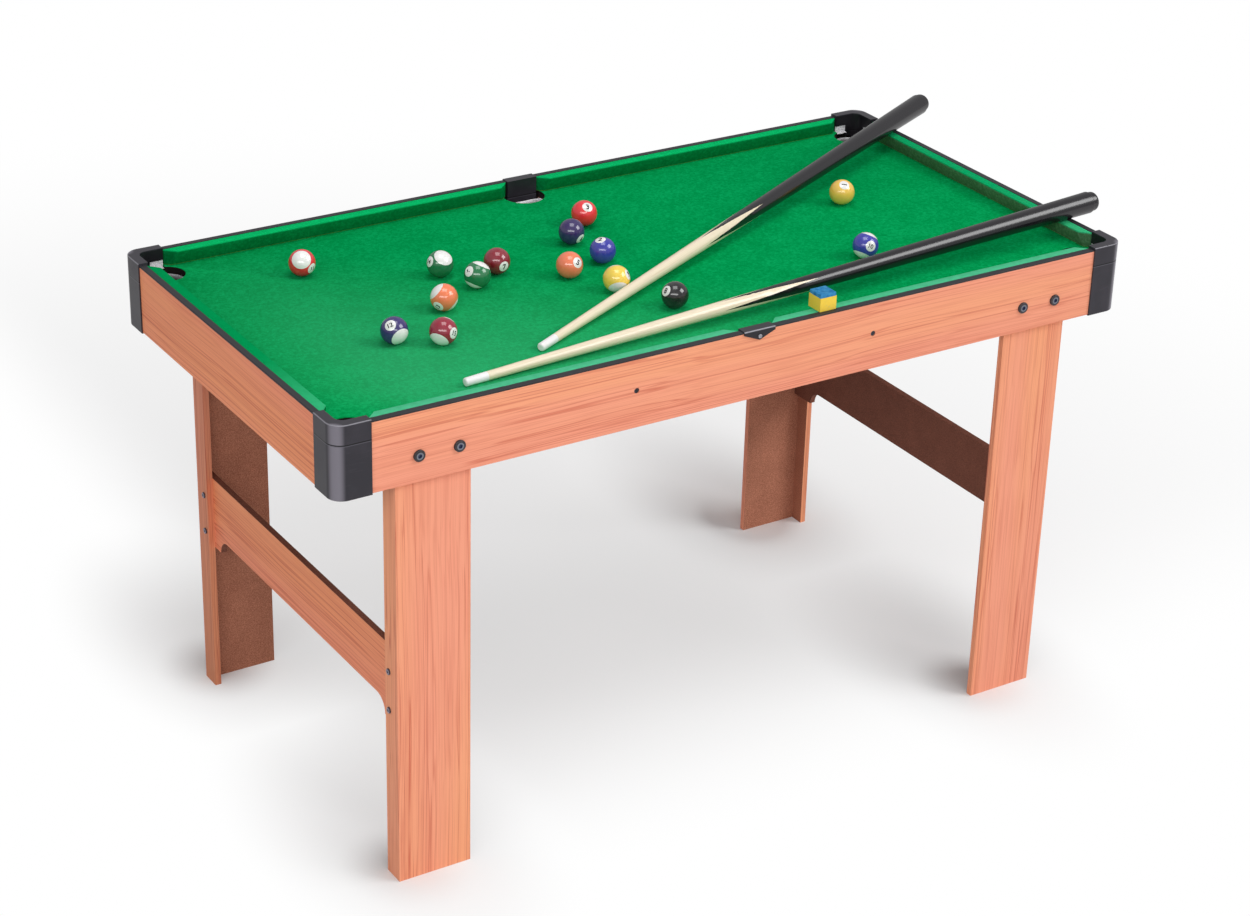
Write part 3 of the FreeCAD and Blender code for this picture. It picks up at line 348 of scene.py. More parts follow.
# %% [markdown]
# ## The floor
#
# A plain pale floor catches the shadows. Far from the table it turns into pure white, as the paper
# sweep of a studio does, so no edge of it shows. The change follows the distance from a point below
# the table, read from the floor's own coordinates. It comes sooner to the left and in front than to
# the right and behind. A painted glow of white is mixed in below the table too. It stands in for the
# light thrown back by the studio's walls, which keeps the shadows pale. Less glow is mixed in near the
# feet, as painted shadow where that light doesn't reach.

# %% Floor
shade_middle = (-0.2145, 0.1523, 0)
fade_right_back = (0.456, 0.417, 0)
fade_left_front = (-3.579, -1.753, 0)
foot_middle = (0.4638, 0.2915, 0)

bpy.ops.mesh.primitive_plane_add(size=24, location=(0, 0, 0))
floor = bpy.context.object
floor.name = "floor"
edit_all()
bpy.ops.mesh.subdivide(number_cuts=3)
edit_done()
floor_material, shader, place = new_material("studio floor", 0.6, 0.2)
tree = floor_material.node_tree
shader.inputs["Base Color"].default_value = (0.86, 0.86, 0.865, 1)
shifted = vector_sum("SUBTRACT", place, shade_middle)
right_back = vector_sum("MULTIPLY", shifted, fade_right_back)
left_front = vector_sum("MULTIPLY", shifted, fade_left_front)
reach = vector_sum("LENGTH", vector_sum("MAXIMUM", right_back, left_front))


def from_feet(shift_x, shift_y, narrow):
    """The distance to the nearest of four points, one behind each foot."""
    apart = vector_sum("SUBTRACT", place, (shift_x, shift_y, 0))
    apart = vector_sum("SUBTRACT", vector_sum("ABSOLUTE", apart), foot_middle)
    return vector_sum("LENGTH", vector_sum("MULTIPLY", apart, (narrow, 1, 0)))


# Painted shadow: less of the white glow near each foot, in a wide patch behind it and a close one at it.
wide = ramp(from_feet(-0.004, 0.117, 1.93), 0.0, 0.4, 0.6, 0.0)
close = ramp(from_feet(-0.03, 0.02, 1.2), 0.0, 0.11, 0.5, 0.0)
# Pure white far from the table, and a painted glow for the walls' thrown-back light below it.
paper = ramp(reach, 0.17, 1.0, 0.539, 1.0)
paper = sum_of("SUBTRACT", paper, sum_of("ADD", wide, close), clamp=True)
paper = times(paper, seen_share(tree))
white = tree.nodes.new("ShaderNodeEmission")
both = add_node("ShaderNodeMixShader", {0: paper, 1: shader.outputs[0], 2: white.outputs[0]})
tree.links.new(both.outputs[0], tree.nodes["Material Output"].inputs["Surface"])
dress(floor, floor_material)
print("floor:", tuple(round(v, 1) for v in floor.dimensions))

# %% [markdown]
# ## Wood grain and worn edges
#
# The boards are chipboard under a printed wood film. The print is a salmon ground that drifts between
# pink and orange, with many thin, darker lines along the board. The lines gather in some places and
# fade in others. A thin line is where a stretched noise crosses its middle value, so it wanders
# and never repeats. Two sets of lines and fine fibres sit in one group, because the panels, the legs,
# the stretchers and the cues all use it.
# A second group finds the long edges of a board, where hands and moving have rubbed the film.

# %% Grain group
grain, given, out = new_group(
    "wood grain",
    {
        "Vector": (0, 0, 0),
        "Light": (0.8, 0.5, 0.3, 1),
        "Warm": (0.8, 0.5, 0.2, 1),
        "Dark": (0.5, 0.25, 0.15, 1),
        "Coarseness": 1.0,
        "Lines": 0.6,
    },
    {"Color": "Color", "Height": "Float"},
)


def thin_lines(vector, scale, width):
    """Wandering lines where a stretched noise crosses its middle value."""
    return ramp(gap_to(noise(vector, scale, 1.5), 0.5), 0.0, width, 1.0, 0.0)


scaled = scaled_by(given["Vector"], given["Coarseness"])
wander = add_node("ShaderNodeTexNoise", {"Vector": scaled, "Scale": 3.0, "Detail": 1.0})
shift = vector_sum("SUBTRACT", wander.outputs["Color"], (0.5, 0.5, 0.5))
bent = vector_sum("MULTIPLY_ADD", shift, (0, 0.014, 0.014), scaled)
gathered = ramp(noise(bent, (0.8, 24, 24), 1.0), 0.36, 0.62, 0.3, 1.0)
strong = times(thin_lines(bent, (0.7, 150, 150), 0.045), gathered)
faint = thin_lines(bent, (1.2, 310, 310), 0.09)
fibres = noise(bent, (12, 620, 620), 2.0)
broad = ramp(noise(bent, (0.9, 44, 44), 2.0), 0.4, 0.66)
darkness = sum_of("MULTIPLY_ADD", faint, 0.32, times(strong, 0.8))
darkness = sum_of("MULTIPLY_ADD", broad, 0.18, darkness)
darkness = sum_of("MULTIPLY_ADD", sum_of("SUBTRACT", fibres, 0.5), 0.6, darkness)
darkness = sum_of("MULTIPLY", darkness, given["Lines"], clamp=True)
drift = ramp(noise(bent, (0.9, 13, 13), 1.0), 0.34, 0.66)
ground = mixed(drift, given["Light"], given["Warm"])
grain.links.new(mixed(darkness, ground, given["Dark"]), out["Color"])
grain.links.new(sum_of("SUBTRACT", fibres, darkness), out["Height"])


def wood(vector, colours, lines, coarseness=1.0):
    """The grain's colour and height, for a light, a warm and a dark colour."""
    film = {"Vector": vector, "Coarseness": coarseness, "Lines": lines}
    film.update(zip(("Light", "Warm", "Dark"), colours))
    return fill(grain, film)


print("grain group:", len(grain.nodes), "nodes")

# %% Edge group
edges, given, out = new_group(
    "board edges",
    {"Vector": (0, 0, 0), "Centre": (0, 0, 0), "Half size": (1, 1, 1), "Width": 0.002},
    {"Mask": "Float"},
)
offset = vector_sum("ABSOLUTE", vector_sum("SUBTRACT", given["Vector"], given["Centre"]))
depth = axes_of(vector_sum("SUBTRACT", given["Half size"], offset))
pairs = [most(depth[one], depth[other]) for one, other in ("XY", "YZ", "XZ")]
nearest = sum_of("MINIMUM", sum_of("MINIMUM", pairs[0], pairs[1]), pairs[2])
ragged = times(noise(given["Vector"], 220.0, 3.0), given["Width"])
worn = sum_of("SUBTRACT", ragged, nearest)
worn = sum_of("DIVIDE", worn, given["Width"], clamp=True)
edges.links.new(worn, out["Mask"])
print("edge group:", len(edges.nodes), "nodes")

# %% [markdown]
# ## Boards
#
# Only the outer faces carry the wood film. The backs of the boards are bare hardboard, brown and
# finely speckled, which shows inside the far legs. Each board gets its own material, because the film
# runs along its length and its edges are at its own place. The bare side is found by the board's own
# coordinates: it is the side that looks towards the middle of the table. Where boards are cut
# or show in the pockets, the wood is painted dark as shade, as the holes of a real table look.
# The legs' bare backs are painted lighter than the rails', as painted light thrown up from the floor,
# and the far left leg gets a darker copy of the film, as painted shade.

# %% Board finish
grain_along = {
    "x": (0, 0, 0),
    "y": (0, 0, math.radians(-90)),
    "z": (0, math.radians(90), 0),
}
corner_middle = (0.5595, 0.2645)
side_middle = (0.0, 0.287)
corner_hole = 0.0258
side_hole = 0.0303
window_reach = 0.04
outer_film_x = 0.5996
outer_film_y = 0.3046


def board_finish(name, along, film_colours, bare_colours, bare_within, seed, lines=0.72):
    """Wood film outside and bare hardboard within the given distances from the middle planes."""
    low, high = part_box(name)
    material, shader, place = new_material(name + " film", gloss=0.1)
    turn = {"Vector": place, "Rotation": grain_along[along], "Location": (seed, seed * 0.7, seed * 1.3)}
    turned = add_node("ShaderNodeMapping", turn).outputs[0]
    film = wood(turned, film_colours, lines)
    board = {"Vector": place, "Centre": (low + high) / 2, "Half size": (high - low) / 2, "Width": 0.0014}
    wear_and_painted_sheen = times(fill(edges, board)["Mask"], 0.5)
    colour = coated(film["Color"], (wear_and_painted_sheen, (210, 128, 98)))
    reach = axes_of(vector_sum("ABSOLUTE", place))
    bare = times(below(reach["X"], bare_within[0]), below(reach["Y"], bare_within[1]))
    specks = noise(place, 750.0, 3.0, 0.75)
    clouds = noise(place, 30.0, 2.0)
    fleck = ramp(sum_of("MULTIPLY_ADD", clouds, 0.15, specks), 0.3, 0.85)
    colour = mixed(bare, colour, mixed(fleck, *bare_colours))
    # Painted shade: the wood round the pocket holes and seen behind the corner windows is painted dark.
    to_corner = near_corner(place, corner_middle)
    in_side = below(near_corner(place, side_middle), side_hole)
    shade_behind_window = times(below(to_corner, window_reach), below(reach["X"], outer_film_x))
    pocket_shade = most(in_side, below(to_corner, corner_hole), shade_behind_window)
    pocket_shade = times(pocket_shade, below(reach["Y"], outer_film_y))
    feed(shader, "Base Color", coated(colour, (pocket_shade, (34, 28, 27))))
    feed(shader, "Roughness", sum_of("MULTIPLY_ADD", bare, 0.3, 0.45))
    bumped(shader, film["Height"], 0.00006, 0.6)
    return material


front_film = rgb(250, 165, 136), rgb(251, 170, 131), rgb(212, 111, 85)
end_film = rgb(252, 158, 122), rgb(252, 163, 116), rgb(206, 98, 70)
# A darker copy of the leg film, as painted shade for the far left leg.
shaded_leg_film = rgb(226, 146, 118), rgb(230, 152, 112), rgb(182, 88, 66)
leg_film = rgb(250, 166, 136), rgb(253, 174, 130), rgb(210, 110, 84)
# The legs' bare backs are lighter than the rails', as painted light thrown up from the floor.
lit_leg_bare = rgb(142, 88, 68), rgb(212, 144, 116)
rail_bare = rgb(98, 60, 50), rgb(152, 98, 80)
inside_panels = (0.5912, 0.2962)
inside_legs = (0.50665, 0.28705)
inside_stretchers = (0.5065, 1.0)
everywhere = (1.0, 1.0)

for number, (side, along) in enumerate((("front", "x"), ("back", "x"), ("left", "y"), ("right", "y"))):
    name = "panel_" + side
    film, lines = (front_film, 0.65) if along == "x" else (end_film, 0.72)
    dress(nodes[name], board_finish(name, along, film, rail_bare, inside_panels, 0.31 * number, lines))

for number, side in enumerate(("front_left", "front_right", "back_left", "back_right")):
    name = "leg_" + side
    film = shaded_leg_film if side == "back_left" else leg_film
    dress(nodes[name], board_finish(name, "z", film, lit_leg_bare, inside_legs, 1.7 + 0.43 * number))

for number, side in enumerate(("left", "right")):
    name = "stretcher_" + side
    dress(nodes[name], board_finish(name, "y", end_film, rail_bare, inside_stretchers, 3.9 + 0.37 * number))
    name = "bed_crossbar_" + side
    dress(nodes[name], board_finish(name, "y", leg_film, rail_bare, everywhere, 5.1 + 0.37 * number))

dress(nodes["bed_board"], board_finish("bed_board", "x", leg_film, rail_bare, everywhere, 7.7))
print("boards dressed:", 13)

# %% [markdown]
# ## Moulded plastic and metal
#
# The corners, their guards and the side pockets are dark moulded plastic with a fine, slightly
# uneven skin. The same scuffs group serves them, the strip on the rails and the bolts, with
# other values. Sharp corners of a moulding are rounded in the solids, and the thin pale line where
# they catch the light is a painted highlight.

# %% Scuffs group
scuffs, given, out = new_group(
    "scuffs", {"Vector": (0, 0, 0), "Fineness": 1.0}, {"Mask": "Float", "Height": "Float"}
)
scaled = scaled_by(given["Vector"], given["Fineness"])
cloud = ramp(noise(scaled, 18.0, 3.0), 0.4, 0.65)
scratch = ramp(noise(scaled, (40, 900, 300), 2.0), 0.62, 0.7)
mask = sum_of("MULTIPLY_ADD", scratch, 0.5, cloud)
scuffs.links.new(times(mask, 0.66), out["Mask"])
scuffs.links.new(noise(scaled, 1500.0, 2.0), out["Height"])


def moulded(name, colour, worn_colour, smooth, rough, depth=0.00002, fineness=1.0, metallic=0.0, gloss=0.5):
    """A moulded or metal skin whose gloss changes with handling."""
    material, shader, place = new_material(name, gloss=gloss)
    skin = fill(scuffs, {"Vector": place, "Fineness": fineness})
    feed(shader, "Base Color", mixed(skin["Mask"], colour, worn_colour))
    feed(shader, "Roughness", ramp(skin["Mask"], 0.0, 1.0, smooth, rough))
    shader.inputs["Metallic"].default_value = metallic
    bumped(shader, skin["Height"], depth, 0.5)
    return material


trim_plastic = moulded("rail trim plastic", rgb(40, 40, 44), rgb(52, 52, 56), 0.4, 0.55, gloss=0.25)
bright_steel = moulded("bright steel", rgb(200, 200, 205), rgb(160, 160, 168), 0.2, 0.36, 0.00001, 2.0, 1.0)
black_screw = moulded("black screw", rgb(38, 37, 42), rgb(66, 66, 76), 0.28, 0.4, fineness=2.0)
dress(nodes["rail_trims"], trim_plastic)
dress(nodes["crossbar_screws"], black_screw)
dress(nodes["side_pocket_screws"], bright_steel)
dress(nodes["leg_nuts"], bright_steel)
print("plastic and metal dressed")

# %% [markdown]
# ## Corner mouldings and bolts
#
# Light hardly reaches the pockets' walls, so the skin within the pockets is painted darker as shade.
# Casting and guard meet in a narrow shadow line a quarter of the way down each corner, with a painted
# highlight on the lip below it. The outer edge on top has a painted highlight, a thin pale line, and a
# paler band down the rounding is a painted highlight too. A bolt's button head is black on its sloping
# flank, painted pale on the flat as a highlight and steel blue inside the hexagon, and the stretchers'
# screws have a pale painted highlight round a dark cross. All of it is painted by place, because the
# solids have these shapes already.

# %% Place on a rounded outline
def past_corner(place, middle):
    """How far a point lies beyond the middle of an outline's rounding, in both directions."""
    past = vector_sum("SUBTRACT", vector_sum("ABSOLUTE", place), (*middle, 0))
    return vector_sum("MULTIPLY", vector_sum("MAXIMUM", past, (0, 0, 0)), (1, 1, 0))


def outside_of(past):
    """How far outside a rounded outline a point lies, with numbers below 0 for the inside."""
    return sum_of("SUBTRACT", vector_sum("LENGTH", past), outline_round)


def above(value, level):
    """0 below a level and 1 above it, with a soft change over 0.4 mm."""
    return ramp(value, level - 0.0002, level + 0.0002)


# %% Corner plastic
outline_round = 0.02
corner_round_middle = (0.582, 0.287)
side_round_middle = (0.03, 0.287)
seam_height = 0.6447
lip_height = 0.6433
casting_rim = 0.6699
side_rim = 0.6678
flange_under = 0.6687
wall_x = (0.5, 0.5888)
wall_y = 0.2938
wall_fade = (0.6694, 0.6700)
mask_edge = 0.0004
side_reach = 0.04

corner_plastic = moulded("corner plastic", rgb(46, 44, 51), rgb(58, 55, 63), 0.3, 0.42, gloss=0.3)
shader, place, skin = reopened(corner_plastic)
height = axes_of(place)["Z"]
corner_past = past_corner(place, corner_round_middle)
sides = axes_of(corner_past)
# Painted highlight: a paler band down the rounding of each corner.
painted_highlight_band = ramp(times(sides["X"], sides["Y"]), 0.00006, 0.0002)
# Painted highlight on the lip below the seam. The seam itself is a dark joint.
lip_highlight = ramp(gap_to(height, lip_height), 0.0003, 0.0008, 0.55, 0.0)
seam = ramp(gap_to(height, seam_height), 0.0005, 0.0010, 1.0, 0.0)
skin = coated(skin, (painted_highlight_band, (128, 124, 134)), (lip_highlight, (98, 96, 106)), (seam, (8, 7, 10)))

to_side = near_corner(place, side_middle)
# Painted shade: the walls within the pockets are painted darker.
in_corner = ramp(near_corner(place, corner_middle), corner_hole, corner_hole + mask_edge, 0.8, 0.0)
in_side = ramp(to_side, side_hole, side_hole + mask_edge, 0.4, 0.0)
in_side = times(in_side, below(height, flange_under))
reach = axes_of(vector_sum("ABSOLUTE", place))
wall = times(below(reach["X"], wall_x[1]), below(reach["Y"], wall_y))
wall = times(wall, sum_of("GREATER_THAN", reach["X"], wall_x[0]), ramp(height, *wall_fade, 0.75, 0.0))
pocket_wall_shade = most(in_corner, in_side, wall)

# Painted highlight: a thin pale line along the outer top edge of castings and side pockets.
corner_rim_highlight = times(above(outside_of(corner_past), -0.0010), above(height, casting_rim), 0.75)
side_edge_highlight = above(outside_of(past_corner(place, side_round_middle)), -0.0013)
side_edge_highlight = times(side_edge_highlight, above(height, side_rim), below(to_side, side_reach))
rim = most(corner_rim_highlight, side_edge_highlight)
feed(shader, "Base Color", coated(skin, (pocket_wall_shade, (20, 18, 22)), (rim, (150, 148, 156))))
print("corner plastic:", len(corner_plastic.node_tree.nodes), "nodes")

# %% Bolt and screw paint
def ringed(name, colour, worn_colour, plane, axes, rings):
    """A metal skin with painted rings round each axis and its mirror images, the pale ones painted
    highlights.
    """
    material = moulded(name, colour, worn_colour, 0.3, 0.42, fineness=2.0)
    shader, place, painted = reopened(material)
    folded = vector_sum("ABSOLUTE", vector_sum("MULTIPLY", place, plane))
    first, second = [vector_sum("DISTANCE", folded, axis) for axis in axes]
    from_axis = sum_of("MINIMUM", first, second)
    for inner, outer, strength, paint in rings:
        painted = coated(painted, (ramp(from_axis, inner, outer, strength, 0.0), paint))
    feed(shader, "Base Color", painted)
    return material


# The pale rings are painted highlights: on the bolts' flat and on the screws' rim round the dark cross.
bolt_highlight_and_recess_rings = [(0.0044, 0.0050, 0.85, (122, 126, 138)), (0.0027, 0.0031, 1.0, (52, 60, 92))]
bolt_axes = ((0.4876, 0, 0.6079), (0.4326, 0, 0.6079))
bolt_black = ringed("black bolt", rgb(40, 37, 42), rgb(54, 50, 56), (1, 0, 1), bolt_axes, bolt_highlight_and_recess_rings)
screw_highlight_and_centre_rings = [(0.0034, 0.0041, 0.9, (160, 152, 170)), (0.0014, 0.0020, 1.0, (44, 40, 46))]
screw_axes = ((0, 0.274, 0.3016), (0, 0.274, 0.2458))
screw_grey = ringed("grey screw", rgb(62, 54, 64), rgb(74, 66, 76), (0, 1, 1), screw_axes, screw_highlight_and_centre_rings)

for name, node in nodes.items():
    if name.startswith(("corner_casting", "corner_guard", "side_pocket_front", "side_pocket_back")):
        dress(node, corner_plastic)
dress(nodes["leg_bolts"], bolt_black)
dress(nodes["stretcher_screws"], screw_grey)
print("corners, bolts and screws dressed")

# %% [markdown]
# ## The cloth
#
# The playing cloth is a green felt with a short nap. Close up it shows tufts and short light fibres
# that curl in all directions. One noise gives the tufts, and thin lines through a second, swirled one
# give the fibres. Cloth of this kind hardly shines, so its gloss is turned off and only the small
# bumps and the colour make it look soft. The group is used by the bed and by the rail cushions.

# %% Nap group
nap, given, out = new_group(
    "cloth nap",
    {"Vector": (0, 0, 0), "Light": (0.1, 0.5, 0.2, 1), "Dark": (0.0, 0.3, 0.1, 1)},
    {"Color": "Color", "Height": "Float"},
)
clouds = noise(given["Vector"], 17.0, 3.0, 0.6)
tufts = noise(given["Vector"], 230.0, 2.0, 0.6)
swirl = add_node("ShaderNodeTexNoise", {"Vector": given["Vector"], "Scale": 80.0, "Detail": 1.0})
swirled = vector_sum("MULTIPLY_ADD", swirl.outputs["Color"], (0.03, 0.03, 0.03), given["Vector"])
curls = thin_lines(swirled, (170, 170, 170), 0.05)
light = sum_of("MULTIPLY_ADD", tufts, 0.75, times(clouds, 0.3))
light = sum_of("MULTIPLY_ADD", curls, 0.13, light)
light = ramp(light, 0.38, 0.82)
nap.links.new(mixed(light, given["Dark"], given["Light"]), out["Color"])
nap.links.new(sum_of("MULTIPLY_ADD", curls, 0.4, tufts), out["Height"])


def felt(name, light_colour, dark_colour):
    """Green cloth with a short nap."""
    material, shader, place = new_material(name, 0.95, 0.0)
    cloth = fill(nap, {"Vector": place, "Light": light_colour, "Dark": dark_colour})
    feed(shader, "Base Color", cloth["Color"])
    bumped(shader, cloth["Height"], 0.0004, 0.5)
    return material


print("nap group:", len(nap.nodes), "nodes")

# %% Bed felt
towards_camera = (-0.62, -0.78, 0)
bed_felt = felt("bed felt", rgb(12, 170, 96), rgb(0, 142, 72))
shader, place, deep = reopened(bed_felt)
# Painted sheen: a paler patch on the near left of the cloth, stronger towards the camera.
nearness = vector_sum("DOT_PRODUCT", place, towards_camera)
wear_and_painted_sheen = times(ramp(nearness, 0.0, 0.4), ramp(nearness, 0.44, 0.54, 0.24, 0.04))
wear_and_painted_sheen = times(wear_and_painted_sheen, ramp(axes_of(place)["X"], -0.57, -0.42, 0.25))
feed(shader, "Base Color", coated(deep, (wear_and_painted_sheen, (84, 190, 142))))
print("bed felt ready")

# %% [markdown]
# ## The bed cloth
#
# One piece of cloth is glued over the bed board and cut out round the six pockets. The solid gives
# its outline, so a copy of it is cleaned of doubled points, and its upper rim is rounded where the
# cloth turns down into the pockets. Modelling the cut-outs again by hand would only repeat the
# outline less exactly.

# %% Copy a solid and round its edges
def soft_copy(source, name, width):
    """A cleaned copy of a solid with its sharp edges rounded, as a piece of its own."""
    bpy.ops.object.select_all(action="DESELECT")
    copy = bpy.data.objects.new(name, nodes[source].data.copy())
    bpy.context.scene.collection.objects.link(copy)
    copy.select_set(True)
    bpy.context.view_layer.objects.active = copy
    edit_all()
    bpy.ops.mesh.remove_doubles(threshold=0.000005)
    bpy.ops.mesh.dissolve_limited(angle_limit=math.radians(1.0))
    bpy.ops.mesh.select_all(action="SELECT")
    bpy.ops.mesh.normals_make_consistent(inside=False)
    edit_done()
    sharp = {"limit_method": "ANGLE", "angle_limit": math.radians(30)}
    apply_modifier(copy, "rounded edges", "BEVEL", width=width, segments=2, **sharp, harden_normals=False)
    bpy.ops.object.shade_smooth_by_angle(angle=math.radians(35))
    return copy


bed_cloth = soft_copy("bed_cloth", "bed_cloth_felt", 0.0004)
dress(bed_cloth, bed_felt)
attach(bed_cloth, "table")
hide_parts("bed_cloth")

# %% [markdown]
# ## The rail cushions
#
# Six strips of firm rubber under the same cloth run round the bed. Their tops are painted paler than
# the bed as a painted sheen, most of all at the front. The face that a ball strikes is painted darker
# as shade, and on the right strip a little olive as a painted reflection of the wood, and a thin pale
# line along its foot is a painted highlight. Each strip is a rounded copy of its solid, and its
# material changes with the height above the bed.

# %% Cushion finish
cushion_foot = (0.6468, 0.6474)
cushion_crown = (0.6650, 0.6664)


def cushion_felt(name, near_top, far_top, face_colours):
    """The bed's felt, painted darker on the face as shade and paler on the top of the strip as a sheen, most
    of all in front.
    """
    material = felt(name, *face_colours)
    shader, place, cloth = reopened(material)
    axes = axes_of(place)
    # Painted sheen: the top of the strip is paler, most of all at the front.
    sheen_top_colour = mixed(ramp(axes["Y"], -0.29, -0.06), near_top, far_top)
    # Painted highlight: a thin pale line along the foot of the face.
    foot_highlight = ramp(axes["Z"], *cushion_foot, 0.45, 0.0)
    cloth = coated(cloth, (foot_highlight, (120, 176, 70)))
    wear_and_painted_sheen = ramp(noise(place, 90.0, 2.0), 0.1, 0.7, 0.8, 1.0)
    wear_and_painted_sheen = times(ramp(axes["Z"], *cushion_crown), wear_and_painted_sheen)
    feed(shader, "Base Color", mixed(wear_and_painted_sheen, cloth, sheen_top_colour))
    return material


# The face colours are darker copies of the bed's cloth, as painted shade. The olive pair on the right is a
# painted reflection of the wood.
shaded_face = rgb(6, 138, 74), rgb(0, 114, 56)
shaded_face_with_reflection = rgb(94, 140, 100), rgb(70, 114, 76)
side_top_sheen = rgb(58, 184, 126)
front = (rgb(84, 196, 146), rgb(84, 196, 146), shaded_face)
back = (rgb(12, 184, 104), rgb(12, 184, 104), shaded_face)
strips = {
    "front_left": front,
    "front_right": front,
    "left": (side_top_sheen, rgb(3, 152, 84), shaded_face),
    "right": (side_top_sheen, rgb(10, 170, 104), shaded_face_with_reflection),
    "back_left": back,
    "back_right": back,
}
for side, looks in strips.items():
    name = "cushion_" + side
    strip = soft_copy(name, name + "_felt", 0.0006)
    dress(strip, cushion_felt(name + " felt", *looks))
    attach(strip, "table")
    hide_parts(name)
print("cushions:", len(strips))

# %% [markdown]
# ## The balls
#
# Fifteen balls of cast resin, polished to a deep gloss. A subdivided cube pushed out to a sphere has
# even faces all over and no poles, so the gloss has no flaw. Seven are one colour, eight have a
# coloured band between two ivory caps, and each has an ivory disc with its number. Disc and caps are
# painted by the angle between a point and two directions, the disc's and the caps' own. The table of
# the balls holds each one's colour, its disc with the turn of its figures, and its caps, if it has any.

# %% Ball pattern group
pattern, given, out = new_group(
    "ball pattern",
    {"Vector": (0, 0, 0), "Centre": (0, 0, 0), "Disc": (0, 0, 1), "Caps": (0, 0, 1), "Cap start": 2.0},
    {"Ivory": "Float"},
)
outward = vector_sum("NORMALIZE", vector_sum("SUBTRACT", given["Vector"], given["Centre"]))
to_disc = vector_sum("DOT_PRODUCT", outward, given["Disc"])
to_caps = vector_sum("DOT_PRODUCT", outward, given["Caps"])
past_cap = sum_of("SUBTRACT", sum_of("ABSOLUTE", to_caps), given["Cap start"])
in_disc = ramp(to_disc, 0.914, 0.919)
in_cap = ramp(past_cap, -0.006, 0.006)
pattern.links.new(most(in_disc, in_cap), out["Ivory"])
print("ball pattern group ready")

# %% Ball directions and colours
ball_radius = 0.018
ball_looks = {
    1: ((255, 206, 88), (0.20, 0.58, 90), None),
    2: ((54, 56, 168), (-0.19, 0.84, 0), None),
    3: ((246, 40, 52), (0.27, 0.50, 8), None),
    4: ((46, 24, 96), (0.72, -0.58, 20), None),
    5: ((254, 132, 92), (0.63, 0.18, -35), None),
    6: ((18, 120, 70), (-0.66, 0.27, 60), (0.38, 0.92, 0.05)),
    7: ((142, 20, 42), (0.56, -0.43, 15), None),
    8: ((18, 16, 20), (-0.68, 0.32, -20), None),
    9: ((255, 218, 86), (0.88, 0.33, 0), (0.15, -0.87, 0.47)),
    10: ((58, 58, 172), (0.42, -0.07, -20), (-0.37, -0.91, 0.16)),
    11: ((236, 36, 48), (0.76, -0.43, 20), (-0.06, 0.29, 0.95)),
    12: ((50, 32, 110), (-0.29, 0.37, 25), (0.56, -0.60, 0.57)),
    13: ((254, 132, 86), (-0.45, -0.68, 50), (-0.75, 0.61, 0.25)),
    14: ((22, 118, 70), (-0.81, 0.17, -20), (0.32, 0.62, 0.71)),
    15: ((156, 22, 52), (0.78, -0.14, -20), (-0.38, -0.80, 0.46)),
}


def seen_frame(centre):
    """Right, up and towards the camera, at one place on the table."""
    near = (camera_place - centre).normalized()
    side = up.cross(near).normalized()
    return side, near.cross(side), near


def seen_direction(centre, across, rise, depth=None):
    """A direction from a ball's centre, given as the photograph shows it."""
    side, lift, near = seen_frame(centre)
    if depth is None:
        depth = math.sqrt(max(0.0, 1 - across * across - rise * rise))
    return (side * across + lift * rise + near * depth).normalized()


print("balls to paint:", len(ball_looks))

# %% Ball glaze
cap_start = 0.714
no_cap = 2.0


def ball_glaze(name, paint, centre, disc, caps):
    """Polished resin: a colour with an ivory disc and, on half of the balls, two ivory caps."""
    material, shader, place = new_material(name, gloss=0.85)
    painted = {"Vector": place, "Centre": centre, "Disc": disc, "Caps": (0, 0, 1), "Cap start": no_cap}
    if caps:
        painted.update({"Caps": caps, "Cap start": cap_start})
    haze = noise(place, 120.0, 2.0)
    colour = mixed(ramp(haze, 0.2, 0.8, 0.0, 0.03), rgb(*paint), (1, 1, 1, 1))
    feed(shader, "Base Color", mixed(fill(pattern, painted)["Ivory"], colour, rgb(246, 244, 242)))
    feed(shader, "Roughness", ramp(haze, 0.3, 0.7, 0.11, 0.16))
    return material


number_ink, shader, place = new_material("number ink", 0.25)
feed(shader, "Base Color", mixed(noise(place, 900.0, 2.0), rgb(18, 18, 20), rgb(34, 33, 36)))
print("ink ready")

# %% Make a ball
print_height = 0.00004


def make_ball(name, centre):
    """A sphere with even faces, at the place of the solid ball."""
    bpy.ops.mesh.primitive_cube_add(size=ball_radius * 2, location=centre)
    ball = bpy.context.object
    ball.name = name
    edit_all()
    bpy.ops.mesh.subdivide(number_cuts=15)
    bpy.ops.transform.tosphere(value=1.0)
    edit_done()
    bpy.ops.object.transform_apply()
    for vertex in ball.data.vertices:
        vertex.co = centre + (vertex.co - centre).normalized() * ball_radius
    bpy.ops.object.shade_smooth()
    return ball


